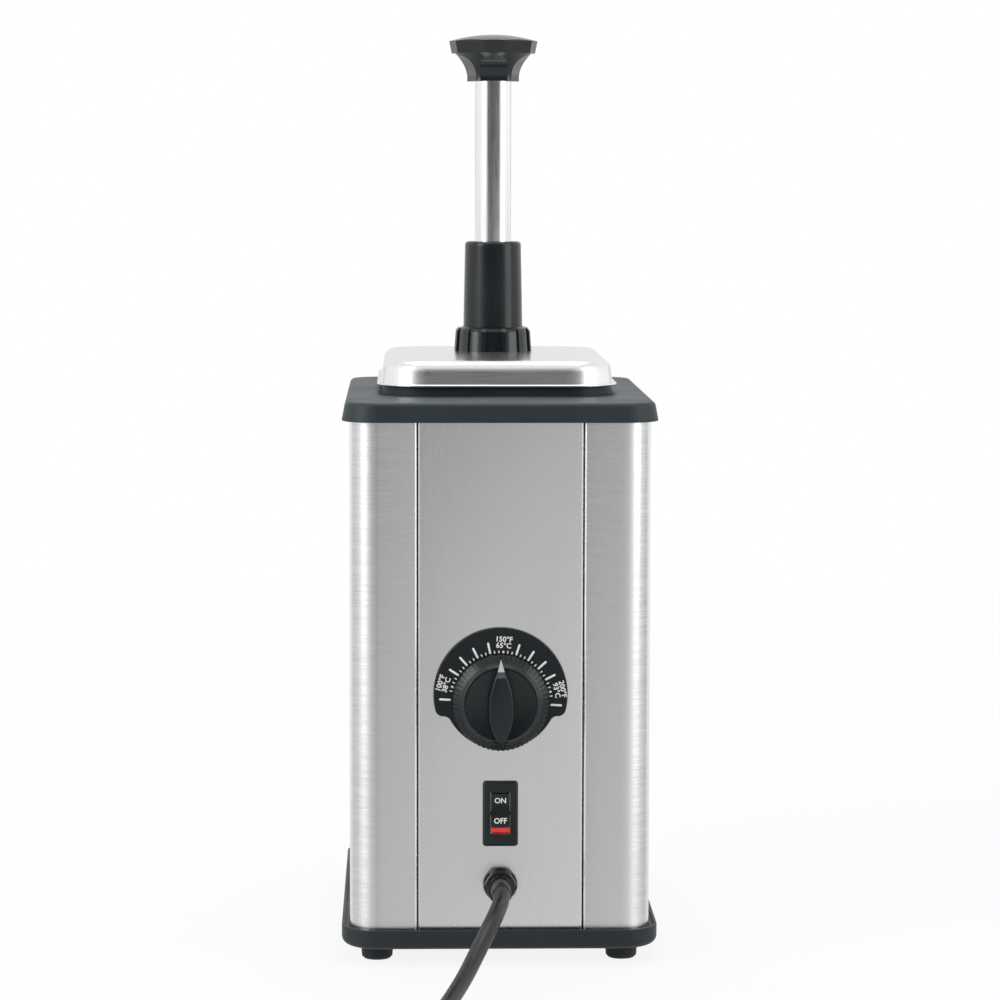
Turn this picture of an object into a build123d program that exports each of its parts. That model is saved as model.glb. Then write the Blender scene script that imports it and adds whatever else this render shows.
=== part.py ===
from build123d import *
import math
import os

# Hot fudge topping warmer: a heated water well with a drop-in jar, a pump lid and a rear control panel.
# Millimetres, +Z up. The origin lies on the floor under the middle of the housing.
# -Y is the control panel side, +Y the serving side under the spout.

# ---------------------------------------------------------------- clearances and stock
FIT = 0.05  # between pieces of one body that are pressed, glued or screwed together
RUNNING = 0.08  # radial, on shafts and plungers that turn or slide
LOOSE = 0.4  # between pieces that only pass each other
SHEET = 0.9  # stainless sheet of the housing and the well
EASE = 0.5  # small broken edge

# ---------------------------------------------------------------- jar and the bays around it
JAR_WIDTH = 114.0  # outside, at the neck
JAR_LENGTH = 158.0
JAR_CORNER = 22.0
JAR_DEPTH = 208.0  # rim to underside
JAR_WALL = 1.0
JAR_DRAFT = 0.5  # degrees
JAR_FLOOR_RADIUS = 12.0
JAR_NECK = 14.0  # rim above the top cover
BEAD_OVERHANG = 4.5  # bead that hangs the jar, beyond the neck
BEAD_HEIGHT = 4.6  # the lid's lip rests on it
BEAD_EDGE = 0.8
WELL_GAP = 2.0  # jar to well
WATER_DEPTH = 14.1  # jar to the well's floor
WELL_FLANGE = 5.0
WELL_FLOOR_RADIUS = 10.0
GASKET_THICKNESS = 1.2
SIDE_BAY = 15.4  # well to housing side
FRONT_BAY = 10.7  # well to housing front
CONTROL_BAY = 53.8  # well to rear panel
UNDER_BAY = 65.0  # well to the base tray's floor

# ---------------------------------------------------------------- housing, cover and base
HOUSING_CORNER = 15.5
PANEL_WIDTH = 84.0  # between the wrap's rear flanges
PANEL_LAP = 8.0  # panel behind each flange
PANEL_RETURN = 9.0  # folded side edge of the panel
COVER_HEIGHT = 9.8
COVER_OVERHANG = 3.8  # beyond the housing, at the skirt's lower edge
COVER_DRAFT = 1.9  # the skirt leans in by this much
COVER_ROOF = 3.0
COVER_EDGE = 2.5
COVER_SKIRT_GAP = 0.3
COVER_OPENING_GAP = 0.8  # round the jar's neck
TRAY_HEIGHT = 10.2
TRAY_FLOOR = 3.0
TRAY_OVERHANG = 4.2
TRAY_RIM = 1.6  # thin outer rim above the ledge
TRAY_LEDGE_DROP = 1.2
TRAY_GAP = 0.3  # tray to housing
TRAY_EDGE = 4.4
VENT_COUNT = 7
VENT_LENGTH = 34.0
VENT_WIDTH = 4.0
VENT_PITCH = 9.0
FOOT_HEIGHT = 8.0
FOOT_RADIUS = 8.4
FOOT_TIP_RADIUS = 7.8
FOOT_INSET_X = 13.8  # foot's middle inside the housing's outer face
FOOT_INSET_Y = 18.0
FOOT_SCREW_RADIUS = 2.0
FOOT_HEAD_RADIUS = 3.6
FOOT_HEAD_HEIGHT = 2.4
FOOT_BOSS_RADIUS = 5.5
FOOT_BOSS_HEIGHT = 5.0
ROD_RADIUS = 2.4
ROD_INSET_X = 6.0  # rod axis inside the housing's outer face
ROD_INSET_Y = 17.5
ROD_BOSS_RADIUS = 4.4
ROD_BOSS_DEPTH = 14.0
ROD_NUT_FLATS = 8.0
ROD_NUT_HEIGHT = 2.0  # sunk in the tray's underside
ROD_FOOT_BOSS_HEIGHT = 5.0

# ---------------------------------------------------------------- heat
INSULATION = 6.0
INSULATION_LOW = 8.0  # above the well's underside
INSULATION_TOP_GAP = 9.0
ELEMENT_RADIUS = 3.2
ELEMENT_SPREAD = 36.0  # half the width of the loop
ELEMENT_FRONT = 52.0  # loop ahead of the well's middle
ELEMENT_REAR = 55.0
ELEMENT_NECK = 12.0  # half the spacing of its cold ends
ELEMENT_BEND = 14.0
ELEMENT_PIN_RADIUS = 1.6
ELEMENT_PIN_LENGTH = 9.0
CLAMP_THICKNESS = 1.2
CLAMP_WIDTH = 92.0
CLAMP_LENGTH = 96.0
STUD_RADIUS = 2.0
STUD_SPACING = 44.0
NUT_FLATS = 7.0
NUT_HEIGHT = 3.2
LIMIT_RADIUS = 8.0
LIMIT_HEIGHT = 9.0
BULB_RADIUS = 2.6
BULB_LENGTH = 64.0
CAPILLARY_RADIUS = 0.8
CAPILLARY_BEND = 7.0
CAPILLARY_SIDE = 4.0  # bulb and tube to the right of the middle
CAPILLARY_SET_BACK = 34.0  # tube's upright run behind the panel's inner face
CAPILLARY_ENTRY = 10.0  # into the thermostat's back, below the shaft

# ---------------------------------------------------------------- rear controls (heights above the floor)
DIAL_HEIGHT = 134.2
DIAL_PLATE_THICKNESS = 2.0
DIAL_PLATE_RADIUS = 33.8  # upper arc
DIAL_PLATE_RISE = 3.9  # its centre above the shaft
DIAL_PLATE_LOW_RADIUS = 28.9
DIAL_PLATE_LOW_RISE = 4.9
DIAL_PLATE_EAR = 7.2  # ears end this far below the shaft
DIAL_PLATE_EAR_RADIUS = 4.0
DIAL_GAP = 0.8  # skirt to plate
SKIRT_RADIUS = 24.4
SKIRT_RIM = 1.8
SKIRT_TOP_RADIUS = 19.5
SKIRT_RISE = 3.8  # slope that carries the teeth
TOOTH_COUNT = 48
TOOTH_WIDTH = 1.3
TOOTH_HEIGHT = 0.55
GRIP_RADIUS = 18.8
GRIP_HEIGHT = 7.0  # above the skirt's underside
BAR_HEIGHT = 8.0  # finger bar above the grip
BAR_WIDTH = 14.0
BAR_NOSE_WIDTH = 4.6
BAR_TAIL_WIDTH = 9.0
BAR_LEAN = 5.0  # degrees of draft
POINTER_WIDTH = 3.4
POINTER_LENGTH = 8.6
POINTER_THICKNESS = 0.3
SHAFT_RADIUS = 3.0
SHAFT_FLAT = 1.5  # flat beyond the axis
SHAFT_IN_BODY = 17.0
SHAFT_IN_KNOB = 5.0
BUSHING_RADIUS = 4.5
THERMOSTAT_SIZE = 42.0
THERMOSTAT_DEPTH = 26.0
THERMOSTAT_SCREW_SPACING = 28.0
THERMOSTAT_SCREW_RADIUS = 1.9
THERMOSTAT_HEAD_RADIUS = 3.4
THERMOSTAT_HEAD_HEIGHT = 1.9
SWITCH_HEIGHT = 77.3
BEZEL_WIDTH = 17.8
BEZEL_HEIGHT = 33.2
BEZEL_THICKNESS = 2.0
BEZEL_BEVEL = 1.1
SWITCH_BODY_WIDTH = 13.6
SWITCH_BODY_HEIGHT = 28.4
SWITCH_BODY_DEPTH = 21.0
ROCKER_SLOT_WIDTH = 10.0
ROCKER_SLOT_HEIGHT = 21.8
ROCKER_GAP = 0.3
ROCKER_TILT = 10.0  # degrees each way
ROCKER_PIVOT_DEPTH = 3.0  # behind the bezel's face
ROCKER_PIVOT_RADIUS = 1.5
ROCKER_PIVOT_REACH = 1.4
ROCKER_DISH = 1.3
ROCKER_FOOT = 4.0
TAB_WIDTH = 6.3
TAB_THICKNESS = 0.8
TAB_LENGTH = 8.0
RELIEF_HEIGHT = 41.1
RELIEF_FLANGE_RADIUS = 8.65
RELIEF_FLANGE = 2.6
RELIEF_HUB_RADIUS = 6.8
RELIEF_TIP_RADIUS = 5.1
RELIEF_LENGTH = 23.75
RELIEF_BARREL_RADIUS = 6.6
RELIEF_BARREL_DEPTH = 9.0

# ---------------------------------------------------------------- pump lid
LID_SHEET = 1.0
LID_PAST_BEAD = 0.5
LID_HEIGHT = 13.4
LID_LIP = 1.6
LID_TAPER = 6.0  # degrees
LID_EDGE = 6.0
PUMP_OFFSET = 30.0  # pump axis ahead of the jar's middle
RISER_OFFSET = 31.0  # discharge riser ahead of the pump axis
TUBE_RADIUS = 9.9
TUBE_WALL = 1.0
STROKE = 76.2
EXPOSED_TUBE = 86.4
SLEEVE_HEIGHT = 46.4  # above the collar
SLEEVE_WALL = 5.0  # at its foot
SLEEVE_DRAFT = 0.9
SLEEVE_FLANGE = 2.0
SLEEVE_LAND = 10.0  # guiding length
SLEEVE_RELIEF = 1.2
COLLAR_HEIGHT = 13.0
COLLAR_WALL = 2.0
COLLAR_DRAFT = 0.8
COLLAR_LIP = 3.0
COLLAR_RIBS = 12
COLLAR_RIB_WIDTH = 2.8
COLLAR_RIB_HEIGHT = 0.95
CYLINDER_WALL = 2.0
CYLINDER_THREAD = 1.0  # threaded head beyond the barrel
CYLINDER_FLANGE_WIDTH = 4.0
CYLINDER_FLANGE = 2.5
SPRING_SEAT = 92.0  # below the lid's underside
LOWER_WALL = 2.0
LOWER_GAP = 0.6  # piston to bore
SPRING_WIRE_RADIUS = 0.9
SPRING_ROOM = 3.1  # plunger tube to the wire's centre line
SPRING_GAP = 1.1  # wire to barrel
SPRING_TURNS = 7
STOP_GAP = 0.8
STOP_HEIGHT = 6.0
PISTON_HEIGHT = 14.0
PISTON_GROOVE = 1.8
PISTON_LIP = 1.0  # beyond the plunger tube
PISTON_REST_GAP = 2.0  # below the spring seat
TUBE_SEAT = 4.0  # plunger tube sunk in the piston
SEAL_HEIGHT = 1.8
VALVE_FLOOR_GAP = 8.0  # above the jar's floor
VALVE_HEIGHT = 20.0
VALVE_WALL = 2.0
VALVE_SOCKET = 4.0
VALVE_ARM_RADIUS = 8.6
VALVE_ARM_HEIGHT = 22.0
BALL_RADIUS = 5.0
BALL_LIFT = 3.0
INLET_RADIUS = 3.6
CAGE_RADIUS = 6.2
PORT_RADIUS = 3.4
CAGE_PIN_RADIUS = 0.8
BEAK_RADIUS = 4.4
BEAK_LIP = 1.6
BEAK_FLANGE = 1.5
BEAK_HEIGHT = 10.0
RISER_RADIUS = 6.35
RISER_WALL = 1.0
SPOUT_RISE = 45.0  # straight centre line above the lid
SPOUT_REACH = 49.0
SPOUT_DROP = 86.0
SPOUT_BEND = 24.0
SPOUT_NUT_RADIUS = 9.0
SPOUT_NUT_HEIGHT = 6.0
KNOB_NECK_WALL = 4.5
KNOB_RIM_RADIUS = 24.0
KNOB_RIM_TAPER = 11.0  # degrees
KNOB_RIM_HEIGHT = 6.6
KNOB_FLARE_HEIGHT = 14.9
KNOB_DOME = 3.6
KNOB_LOBES = 5
KNOB_NARROW_FACET = 25.8  # degrees
KNOB_SCOOP_RADIUS = 13.0
KNOB_SCOOP_WALL = 2.5  # left at the scoop's deepest line
KNOB_SOCKET = 14.0

# ---------------------------------------------------------------- mains cord
CORD_RADIUS = 4.1
CORD_LIE = 0.05  # cord above the floor
CORD_ROUTE = [  # from the strain relief to the coil's first straight
    (0.0, -138.35, 41.1),
    (0.0, -153.5, 41.1),
    (-6.0, -177.0, 38.9),
    (-15.5, -196.7, 25.1),
    (-23.4, -220.2, 14.3),
    (-42.0, -261.0, 4.15),
    (-49.0, -290.0, 4.15),
    (-49.0, -312.0, 4.15),
]
COIL_GAP = 0.5
COIL_RADIUS = 57.0  # outermost half turn of the lower layer
COIL_HALF_TURNS_IN = 5
COIL_HALF_TURNS_OUT = 4
COIL_TAIL = 30.0  # straight run from the coil to the plug
PLUG_RELIEF_LENGTH = 20.0
PLUG_RELIEF_RADIUS = 5.0
PLUG_NECK_RADIUS = 8.0
PLUG_LENGTH = 34.0
PLUG_WIDTH = 28.0
PLUG_CORNER = 6.0
BLADE_WIDTH = 6.3
BLADE_THICKNESS = 1.5
BLADE_LENGTH = 17.5
BLADE_SPACING = 12.7
BLADE_DROP = 3.5  # blades below the plug's axis
BLADE_SEAT = 3.0
PIN_RADIUS = 2.4
PIN_LENGTH = 20.5
PIN_ABOVE_BLADES = 11.9

# ---------------------------------------------------------------- sizes that follow
HOUSING_WIDTH = JAR_WIDTH + 2 * (WELL_GAP + SHEET + SIDE_BAY + SHEET)
WELL_WIDTH = JAR_WIDTH + 2 * WELL_GAP  # inside
WELL_LENGTH = JAR_LENGTH + 2 * WELL_GAP
HOUSING_DEPTH = 2 * SHEET + CONTROL_BAY + WELL_LENGTH + 2 * SHEET + FRONT_BAY + SHEET
JAR_Y = HOUSING_DEPTH / 2 - SHEET - FRONT_BAY - SHEET - WELL_LENGTH / 2
PUMP_Y = JAR_Y + PUMP_OFFSET
RISER_Y = PUMP_Y + RISER_OFFSET
PANEL_FACE = HOUSING_DEPTH / 2 - SHEET  # panel's outer face, toward -Y
WELL_DEPTH = JAR_DEPTH - JAR_NECK - COVER_ROOF - GASKET_THICKNESS + WATER_DEPTH + SHEET
WRAP_HEIGHT = UNDER_BAY + WELL_DEPTH + GASKET_THICKNESS
LID_WIDTH = JAR_WIDTH + 2 * (BEAD_OVERHANG + LID_PAST_BEAD)  # over the lip
LID_LENGTH = JAR_LENGTH + 2 * (BEAD_OVERHANG + LID_PAST_BEAD)
LID_CORNER = JAR_CORNER + BEAD_OVERHANG + LID_PAST_BEAD

SPRING_RADIUS = TUBE_RADIUS + SPRING_ROOM
CYLINDER_BORE = SPRING_RADIUS + SPRING_WIRE_RADIUS + SPRING_GAP
CYLINDER_RADIUS = CYLINDER_BORE + CYLINDER_WALL
HEAD_RADIUS = CYLINDER_RADIUS + CYLINDER_THREAD  # of the barrel, inside the collar
CYLINDER_FLANGE_RADIUS = CYLINDER_RADIUS + CYLINDER_FLANGE_WIDTH
STOP_RADIUS = CYLINDER_BORE - STOP_GAP
PISTON_RADIUS = TUBE_RADIUS + PISTON_LIP
LOWER_BORE = PISTON_RADIUS + LOWER_GAP
LOWER_RADIUS = LOWER_BORE + LOWER_WALL
VALVE_RADIUS = LOWER_RADIUS + VALVE_WALL
SLEEVE_RADIUS = TUBE_RADIUS + SLEEVE_RELIEF + SLEEVE_WALL
SLEEVE_TOP_RADIUS = SLEEVE_RADIUS - SLEEVE_DRAFT
COLLAR_RADIUS = HEAD_RADIUS + LOOSE + COLLAR_WALL
COLLAR_TOP_RADIUS = COLLAR_RADIUS - COLLAR_DRAFT
KNOB_NECK_RADIUS = TUBE_RADIUS + KNOB_NECK_WALL
KNOB_SCOOP_DEPTH = TUBE_RADIUS + KNOB_SCOOP_WALL

TRAY_LOW = FOOT_HEIGHT
TRAY_TOP = TRAY_LOW + TRAY_HEIGHT
WRAP_LOW = TRAY_LOW + TRAY_FLOOR
ROOF_LOW = WRAP_LOW + WRAP_HEIGHT
COVER_TOP = ROOF_LOW + COVER_ROOF
COVER_LOW = COVER_TOP - COVER_HEIGHT
WELL_TOP = ROOF_LOW - GASKET_THICKNESS
WELL_LOW = WELL_TOP - WELL_DEPTH
JAR_TOP = COVER_TOP + JAR_NECK
JAR_LOW = JAR_TOP - JAR_DEPTH
LID_LOW = COVER_TOP + BEAD_HEIGHT
LID_TOP = LID_LOW + LID_HEIGHT
LID_UNDER = LID_TOP - LID_SHEET
COLLAR_TOP = LID_TOP + COLLAR_HEIGHT
SLEEVE_TOP = COLLAR_TOP + SLEEVE_HEIGHT
SLEEVE_SEAT = COLLAR_TOP - COLLAR_LIP - SLEEVE_FLANGE
KNOB_LOW = SLEEVE_TOP + EXPOSED_TUBE
SEAT_Z = LID_UNDER - SPRING_SEAT
VALVE_LOW = JAR_LOW + JAR_WALL + VALVE_FLOOR_GAP
VALVE_TOP = VALVE_LOW + VALVE_HEIGHT
LOWER_LOW = VALVE_TOP - VALVE_SOCKET
PISTON_TOP = SEAT_Z - PISTON_REST_GAP
PISTON_LOW = PISTON_TOP - PISTON_HEIGHT

# The plug lies on the floor with its axis at the coil's upper layer.
PLUG_HEIGHT = 2 * (CORD_ROUTE[-1][2] + 2 * CORD_RADIUS + COIL_GAP - CORD_LIE)

# Local frame of the rear panel: x right as seen from behind, y up, z outward from the panel's face.
REAR = Plane(origin=(0, -PANEL_FACE, 0), x_dir=(1, 0, 0), z_dir=(0, -1, 0))
FEET = [
    (x * (HOUSING_WIDTH / 2 - FOOT_INSET_X), y * (HOUSING_DEPTH / 2 - FOOT_INSET_Y))
    for x in (-1, 1)
    for y in (-1, 1)
]
RODS = [
    (x * (HOUSING_WIDTH / 2 - ROD_INSET_X), y * (HOUSING_DEPTH / 2 - ROD_INSET_Y))
    for x in (-1, 1)
    for y in (-1, 1)
]


# ---------------------------------------------------------------- shared shapes
def block(width, length, corner, low, high, y=0.0, taper=0.0):
    """Upright rounded block between two heights, drawn at its lower end."""
    return Pos(0, y, low) * extrude(RectangleRounded(width, length, corner), high - low, taper=taper)


def disc(radius, low, high, x=0.0, y=0.0):
    """Upright cylinder between two heights."""
    return Pos(x, y, low) * extrude(Circle(radius), high - low)


def ring(outer, inner, low, high, x=0.0, y=0.0):
    return disc(outer, low, high, x, y) - disc(inner, low, high, x, y)


def turned(points, x=0.0, y=0.0):
    """Solid of revolution about an upright axis, from (radius, height) points."""
    outline = make_face(Polyline(*[(r, 0, z) for r, z in points], close=True))
    return Pos(x, y, 0) * revolve(outline, Axis.Z)


def rear_disc(radius, start, end, x, height):
    """Cylinder square to the rear panel, between two distances from its face."""
    return REAR * Pos(x, height, start) * extrude(Circle(radius), end - start)


def rear_block(width, height, corner, start, end, x, centre):
    sketch = RectangleRounded(width, height, corner) if corner else Rectangle(width, height)
    return REAR * Pos(x, centre, start) * extrude(sketch, end - start)


def hex_nut(flats, height, bore, low, x, y):
    outline = RegularPolygon(flats / 2, 6, major_radius=False) - Circle(bore)
    return Pos(x, y, low) * extrude(outline, height)


def swept(path, radius, bore=0.0):
    """Round tube along a path, hollow when a bore is given."""
    start = Plane(origin=path @ 0, z_dir=path % 0)
    solid = sweep(start * Circle(radius), path=path)
    return solid - sweep(start * Circle(bore), path=path) if bore else solid


def outer_edges(solid, height, tolerance=0.01):
    """Edges that lie level at one height."""
    return [
        e
        for e in solid.edges()
        if max(abs(e.bounding_box().min.Z - height), abs(e.bounding_box().max.Z - height)) < tolerance
    ]


# ---------------------------------------------------------------- base
def base_tray():
    width = HOUSING_WIDTH + 2 * TRAY_OVERHANG
    length = HOUSING_DEPTH + 2 * TRAY_OVERHANG
    corner = HOUSING_CORNER + TRAY_OVERHANG
    tray = block(width, length, corner, TRAY_LOW, TRAY_TOP)
    tray = fillet(outer_edges(tray, TRAY_LOW), TRAY_EDGE)
    tray = fillet(outer_edges(tray, TRAY_TOP), EASE)
    gap = 2 * TRAY_GAP
    tray -= block(HOUSING_WIDTH + gap, HOUSING_DEPTH + gap, HOUSING_CORNER + gap / 2, WRAP_LOW, TRAY_TOP)
    ledge = TRAY_TOP - TRAY_LEDGE_DROP
    tray -= block(width - 2 * TRAY_RIM, length - 2 * TRAY_RIM, corner - TRAY_RIM, ledge, TRAY_TOP)
    for x, y in FEET:
        tray += disc(FOOT_BOSS_RADIUS, WRAP_LOW, WRAP_LOW + FOOT_BOSS_HEIGHT, x, y)
        tray -= disc(FOOT_SCREW_RADIUS + FIT, TRAY_LOW, WRAP_LOW + FOOT_BOSS_HEIGHT - 1, x, y)
    for x, y in RODS:
        tray += disc(ROD_BOSS_RADIUS, WRAP_LOW, WRAP_LOW + ROD_FOOT_BOSS_HEIGHT, x, y)
        tray -= disc(ROD_RADIUS + FIT, TRAY_LOW, WRAP_LOW + ROD_FOOT_BOSS_HEIGHT, x, y)
        tray -= Pos(x, y, TRAY_LOW) * extrude(
            RegularPolygon(ROD_NUT_FLATS / 2 + FIT, 6, major_radius=False), ROD_NUT_HEIGHT + 2 * FIT
        )
    for i in range(VENT_COUNT):
        x = (i - (VENT_COUNT - 1) / 2) * VENT_PITCH
        tray -= Pos(x, 0, TRAY_LOW) * extrude(SlotOverall(VENT_LENGTH, VENT_WIDTH, rotation=90), TRAY_FLOOR)
    return tray


def rubber_foot(x, y):
    recess = FOOT_HEAD_RADIUS + EASE
    return turned(
        [
            (recess, 0),
            (FOOT_TIP_RADIUS - 1.2, 0),
            (FOOT_TIP_RADIUS, 1.2),
            (FOOT_RADIUS, FOOT_HEIGHT),
            (FOOT_SCREW_RADIUS + FIT, FOOT_HEIGHT),
            (FOOT_SCREW_RADIUS + FIT, FOOT_HEIGHT / 2),
            (recess, FOOT_HEIGHT / 2),
        ],
        x,
        y,
    )


def foot_screw(x, y):
    seat = FOOT_HEIGHT / 2
    tip = WRAP_LOW + FOOT_BOSS_HEIGHT - 1.5
    head = disc(FOOT_HEAD_RADIUS, seat - FOOT_HEAD_HEIGHT, seat, x, y)
    return head + disc(FOOT_SCREW_RADIUS, seat, tip, x, y)


def tie_rod(x, y):
    return disc(ROD_RADIUS, TRAY_LOW + FIT, ROOF_LOW - 2, x, y)


def tie_rod_nut(x, y):
    return hex_nut(ROD_NUT_FLATS, ROD_NUT_HEIGHT, ROD_RADIUS + FIT, TRAY_LOW + FIT, x, y)


# ---------------------------------------------------------------- housing
def housing_wrap():
    """One sheet folded round the front and sides, with two flanges on the rear face."""
    shell = block(HOUSING_WIDTH, HOUSING_DEPTH, HOUSING_CORNER, WRAP_LOW, ROOF_LOW)
    inner_corner = HOUSING_CORNER - SHEET
    shell -= block(HOUSING_WIDTH - 2 * SHEET, HOUSING_DEPTH - 2 * SHEET, inner_corner, WRAP_LOW, ROOF_LOW)
    window = Pos(0, -HOUSING_DEPTH / 2, WRAP_LOW) * extrude(Rectangle(PANEL_WIDTH, 4 * SHEET), WRAP_HEIGHT)
    return shell - window


def rear_panel():
    width = PANEL_WIDTH + 2 * PANEL_LAP
    middle = (WRAP_LOW + ROOF_LOW) / 2
    panel = rear_block(width, WRAP_HEIGHT, 0, -PANEL_RETURN, 0, 0, middle)
    panel -= rear_block(width - 2 * SHEET, WRAP_HEIGHT, 0, -PANEL_RETURN, -SHEET, 0, middle)
    panel -= rear_disc(BUSHING_RADIUS + EASE, -SHEET, 0, 0, DIAL_HEIGHT)
    for side in (-1, 1):
        x = side * THERMOSTAT_SCREW_SPACING / 2
        panel -= rear_disc(THERMOSTAT_SCREW_RADIUS + FIT, -SHEET, 0, x, DIAL_HEIGHT)
    cut = 2 * FIT
    panel -= rear_block(SWITCH_BODY_WIDTH + cut, SWITCH_BODY_HEIGHT + cut, 0, -SHEET, 0, 0, SWITCH_HEIGHT)
    return panel - rear_disc(RELIEF_BARREL_RADIUS + FIT, -SHEET, 0, 0, RELIEF_HEIGHT)


def top_cover():
    lean = math.degrees(math.atan(COVER_DRAFT / COVER_HEIGHT))
    width = HOUSING_WIDTH + 2 * COVER_OVERHANG
    length = HOUSING_DEPTH + 2 * COVER_OVERHANG
    cover = block(width, length, HOUSING_CORNER + COVER_OVERHANG, COVER_LOW, COVER_TOP, taper=lean)
    cover = fillet(outer_edges(cover, COVER_TOP), COVER_EDGE)
    cover = fillet(outer_edges(cover, COVER_LOW), EASE)
    gap = 2 * COVER_SKIRT_GAP
    cover -= block(HOUSING_WIDTH + gap, HOUSING_DEPTH + gap, HOUSING_CORNER + gap / 2, COVER_LOW, ROOF_LOW)
    gap = 2 * COVER_OPENING_GAP
    cover -= block(JAR_WIDTH + gap, JAR_LENGTH + gap, JAR_CORNER + gap / 2, ROOF_LOW, COVER_TOP, JAR_Y)
    for x, y in RODS:
        cover += disc(ROD_BOSS_RADIUS, ROOF_LOW - ROD_BOSS_DEPTH, ROOF_LOW, x, y)
        cover -= disc(ROD_RADIUS + FIT, ROOF_LOW - ROD_BOSS_DEPTH, ROOF_LOW - 1, x, y)
    return cover


# ---------------------------------------------------------------- well and heat
def heated_well():
    corner = JAR_CORNER + WELL_GAP
    outside = WELL_WIDTH + 2 * SHEET, WELL_LENGTH + 2 * SHEET, corner + SHEET
    well = block(*outside, WELL_LOW, WELL_TOP, JAR_Y)
    well = fillet(outer_edges(well, WELL_LOW), WELL_FLOOR_RADIUS)
    flange = outside[0] + 2 * WELL_FLANGE, outside[1] + 2 * WELL_FLANGE, outside[2] + WELL_FLANGE
    well += block(*flange, WELL_TOP - SHEET, WELL_TOP, JAR_Y)
    pocket = block(WELL_WIDTH, WELL_LENGTH, corner, WELL_LOW + SHEET, WELL_TOP, JAR_Y)
    well -= fillet(outer_edges(pocket, WELL_LOW + SHEET), WELL_FLOOR_RADIUS - SHEET)
    for side in (-1, 1):
        stud_low = clamp_low() - NUT_HEIGHT - 1
        well += disc(STUD_RADIUS, stud_low, WELL_LOW, 0, JAR_Y + side * STUD_SPACING)
    return well


def well_gasket():
    corner = JAR_CORNER + WELL_GAP
    outer = WELL_WIDTH + 2 * (SHEET + WELL_FLANGE), WELL_LENGTH + 2 * (SHEET + WELL_FLANGE)
    gasket = block(*outer, corner + SHEET + WELL_FLANGE, WELL_TOP, ROOF_LOW, JAR_Y)
    return gasket - block(WELL_WIDTH, WELL_LENGTH, corner, WELL_TOP, ROOF_LOW, JAR_Y)


def insulation_jacket():
    corner = JAR_CORNER + WELL_GAP + SHEET
    inner = WELL_WIDTH + 2 * (SHEET + FIT), WELL_LENGTH + 2 * (SHEET + FIT), corner + FIT
    outer = inner[0] + 2 * INSULATION, inner[1] + 2 * INSULATION, inner[2] + INSULATION
    low = WELL_LOW + WELL_FLOOR_RADIUS + INSULATION_LOW
    high = WELL_TOP - INSULATION_TOP_GAP
    return block(*outer, low, high, JAR_Y) - block(*inner, low, high, JAR_Y)


def element_level():
    return WELL_LOW - ELEMENT_RADIUS - FIT


def clamp_low():
    return element_level() - ELEMENT_RADIUS - FIT - CLAMP_THICKNESS


def heating_element():
    """Sheathed element bent into one loop under the well, its cold ends toward the controls."""
    z = element_level()
    rear = JAR_Y - ELEMENT_REAR
    shoulder = rear + ELEMENT_BEND * 1.6
    loop = [
        (-ELEMENT_NECK, rear),
        (-ELEMENT_NECK, shoulder),
        (-ELEMENT_SPREAD, shoulder + ELEMENT_BEND),
        (-ELEMENT_SPREAD, JAR_Y + ELEMENT_FRONT),
        (ELEMENT_SPREAD, JAR_Y + ELEMENT_FRONT),
        (ELEMENT_SPREAD, shoulder + ELEMENT_BEND),
        (ELEMENT_NECK, shoulder),
        (ELEMENT_NECK, rear),
    ]
    bend = ELEMENT_BEND
    path = FilletPolyline(*[(x, y, z) for x, y in loop], radius=[bend / 2] + [bend] * 4 + [bend / 2])
    element = swept(path, ELEMENT_RADIUS)
    for side in (-1, 1):
        pin = Plane(origin=(side * ELEMENT_NECK, rear, z), z_dir=(0, -1, 0))
        element += pin * extrude(Circle(ELEMENT_PIN_RADIUS), ELEMENT_PIN_LENGTH)
    return element


def element_clamp_plate():
    low = clamp_low()
    plate = block(CLAMP_WIDTH, CLAMP_LENGTH, 6, low, low + CLAMP_THICKNESS, JAR_Y)
    for side in (-1, 1):
        y = JAR_Y + side * STUD_SPACING
        plate -= disc(STUD_RADIUS + FIT, low, low + CLAMP_THICKNESS, 0, y)
    return plate


def clamp_nut(side):
    low = clamp_low() - NUT_HEIGHT
    return hex_nut(NUT_FLATS, NUT_HEIGHT, STUD_RADIUS + FIT, low, 0, JAR_Y + side * STUD_SPACING)


def high_limit_thermostat():
    top = clamp_low()
    body = disc(LIMIT_RADIUS, top - LIMIT_HEIGHT, top, 0, JAR_Y)
    flange = Pos(0, JAR_Y, top - 1) * extrude(SlotOverall(3.6 * LIMIT_RADIUS, LIMIT_RADIUS), 1)
    for side in (-1, 1):
        x = side * LIMIT_RADIUS / 2
        tab = Pos(x, JAR_Y, top - LIMIT_HEIGHT - TAB_LENGTH) * Box(
            TAB_THICKNESS, TAB_WIDTH, TAB_LENGTH, align=(Align.CENTER, Align.CENTER, Align.MIN)
        )
        body += tab
    return body + flange


def capillary_bulb():
    """Sensing bulb held against the well's underside, and the fine tube up to the thermostat."""
    z = WELL_LOW - BULB_RADIUS - FIT
    bulb_rear = JAR_Y - BULB_LENGTH / 2
    x = CAPILLARY_SIDE
    bulb = Plane(origin=(x, bulb_rear, z), z_dir=(0, 1, 0)) * extrude(Circle(BULB_RADIUS), BULB_LENGTH)
    upright = CAPILLARY_SET_BACK + SHEET - PANEL_FACE
    back = THERMOSTAT_DEPTH + SHEET - PANEL_FACE
    entry = DIAL_HEIGHT - CAPILLARY_ENTRY
    route = [(x, bulb_rear, z), (x, upright, z), (x, upright, entry), (x, back, entry)]
    return bulb + swept(FilletPolyline(*route, radius=CAPILLARY_BEND), CAPILLARY_RADIUS)


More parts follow.
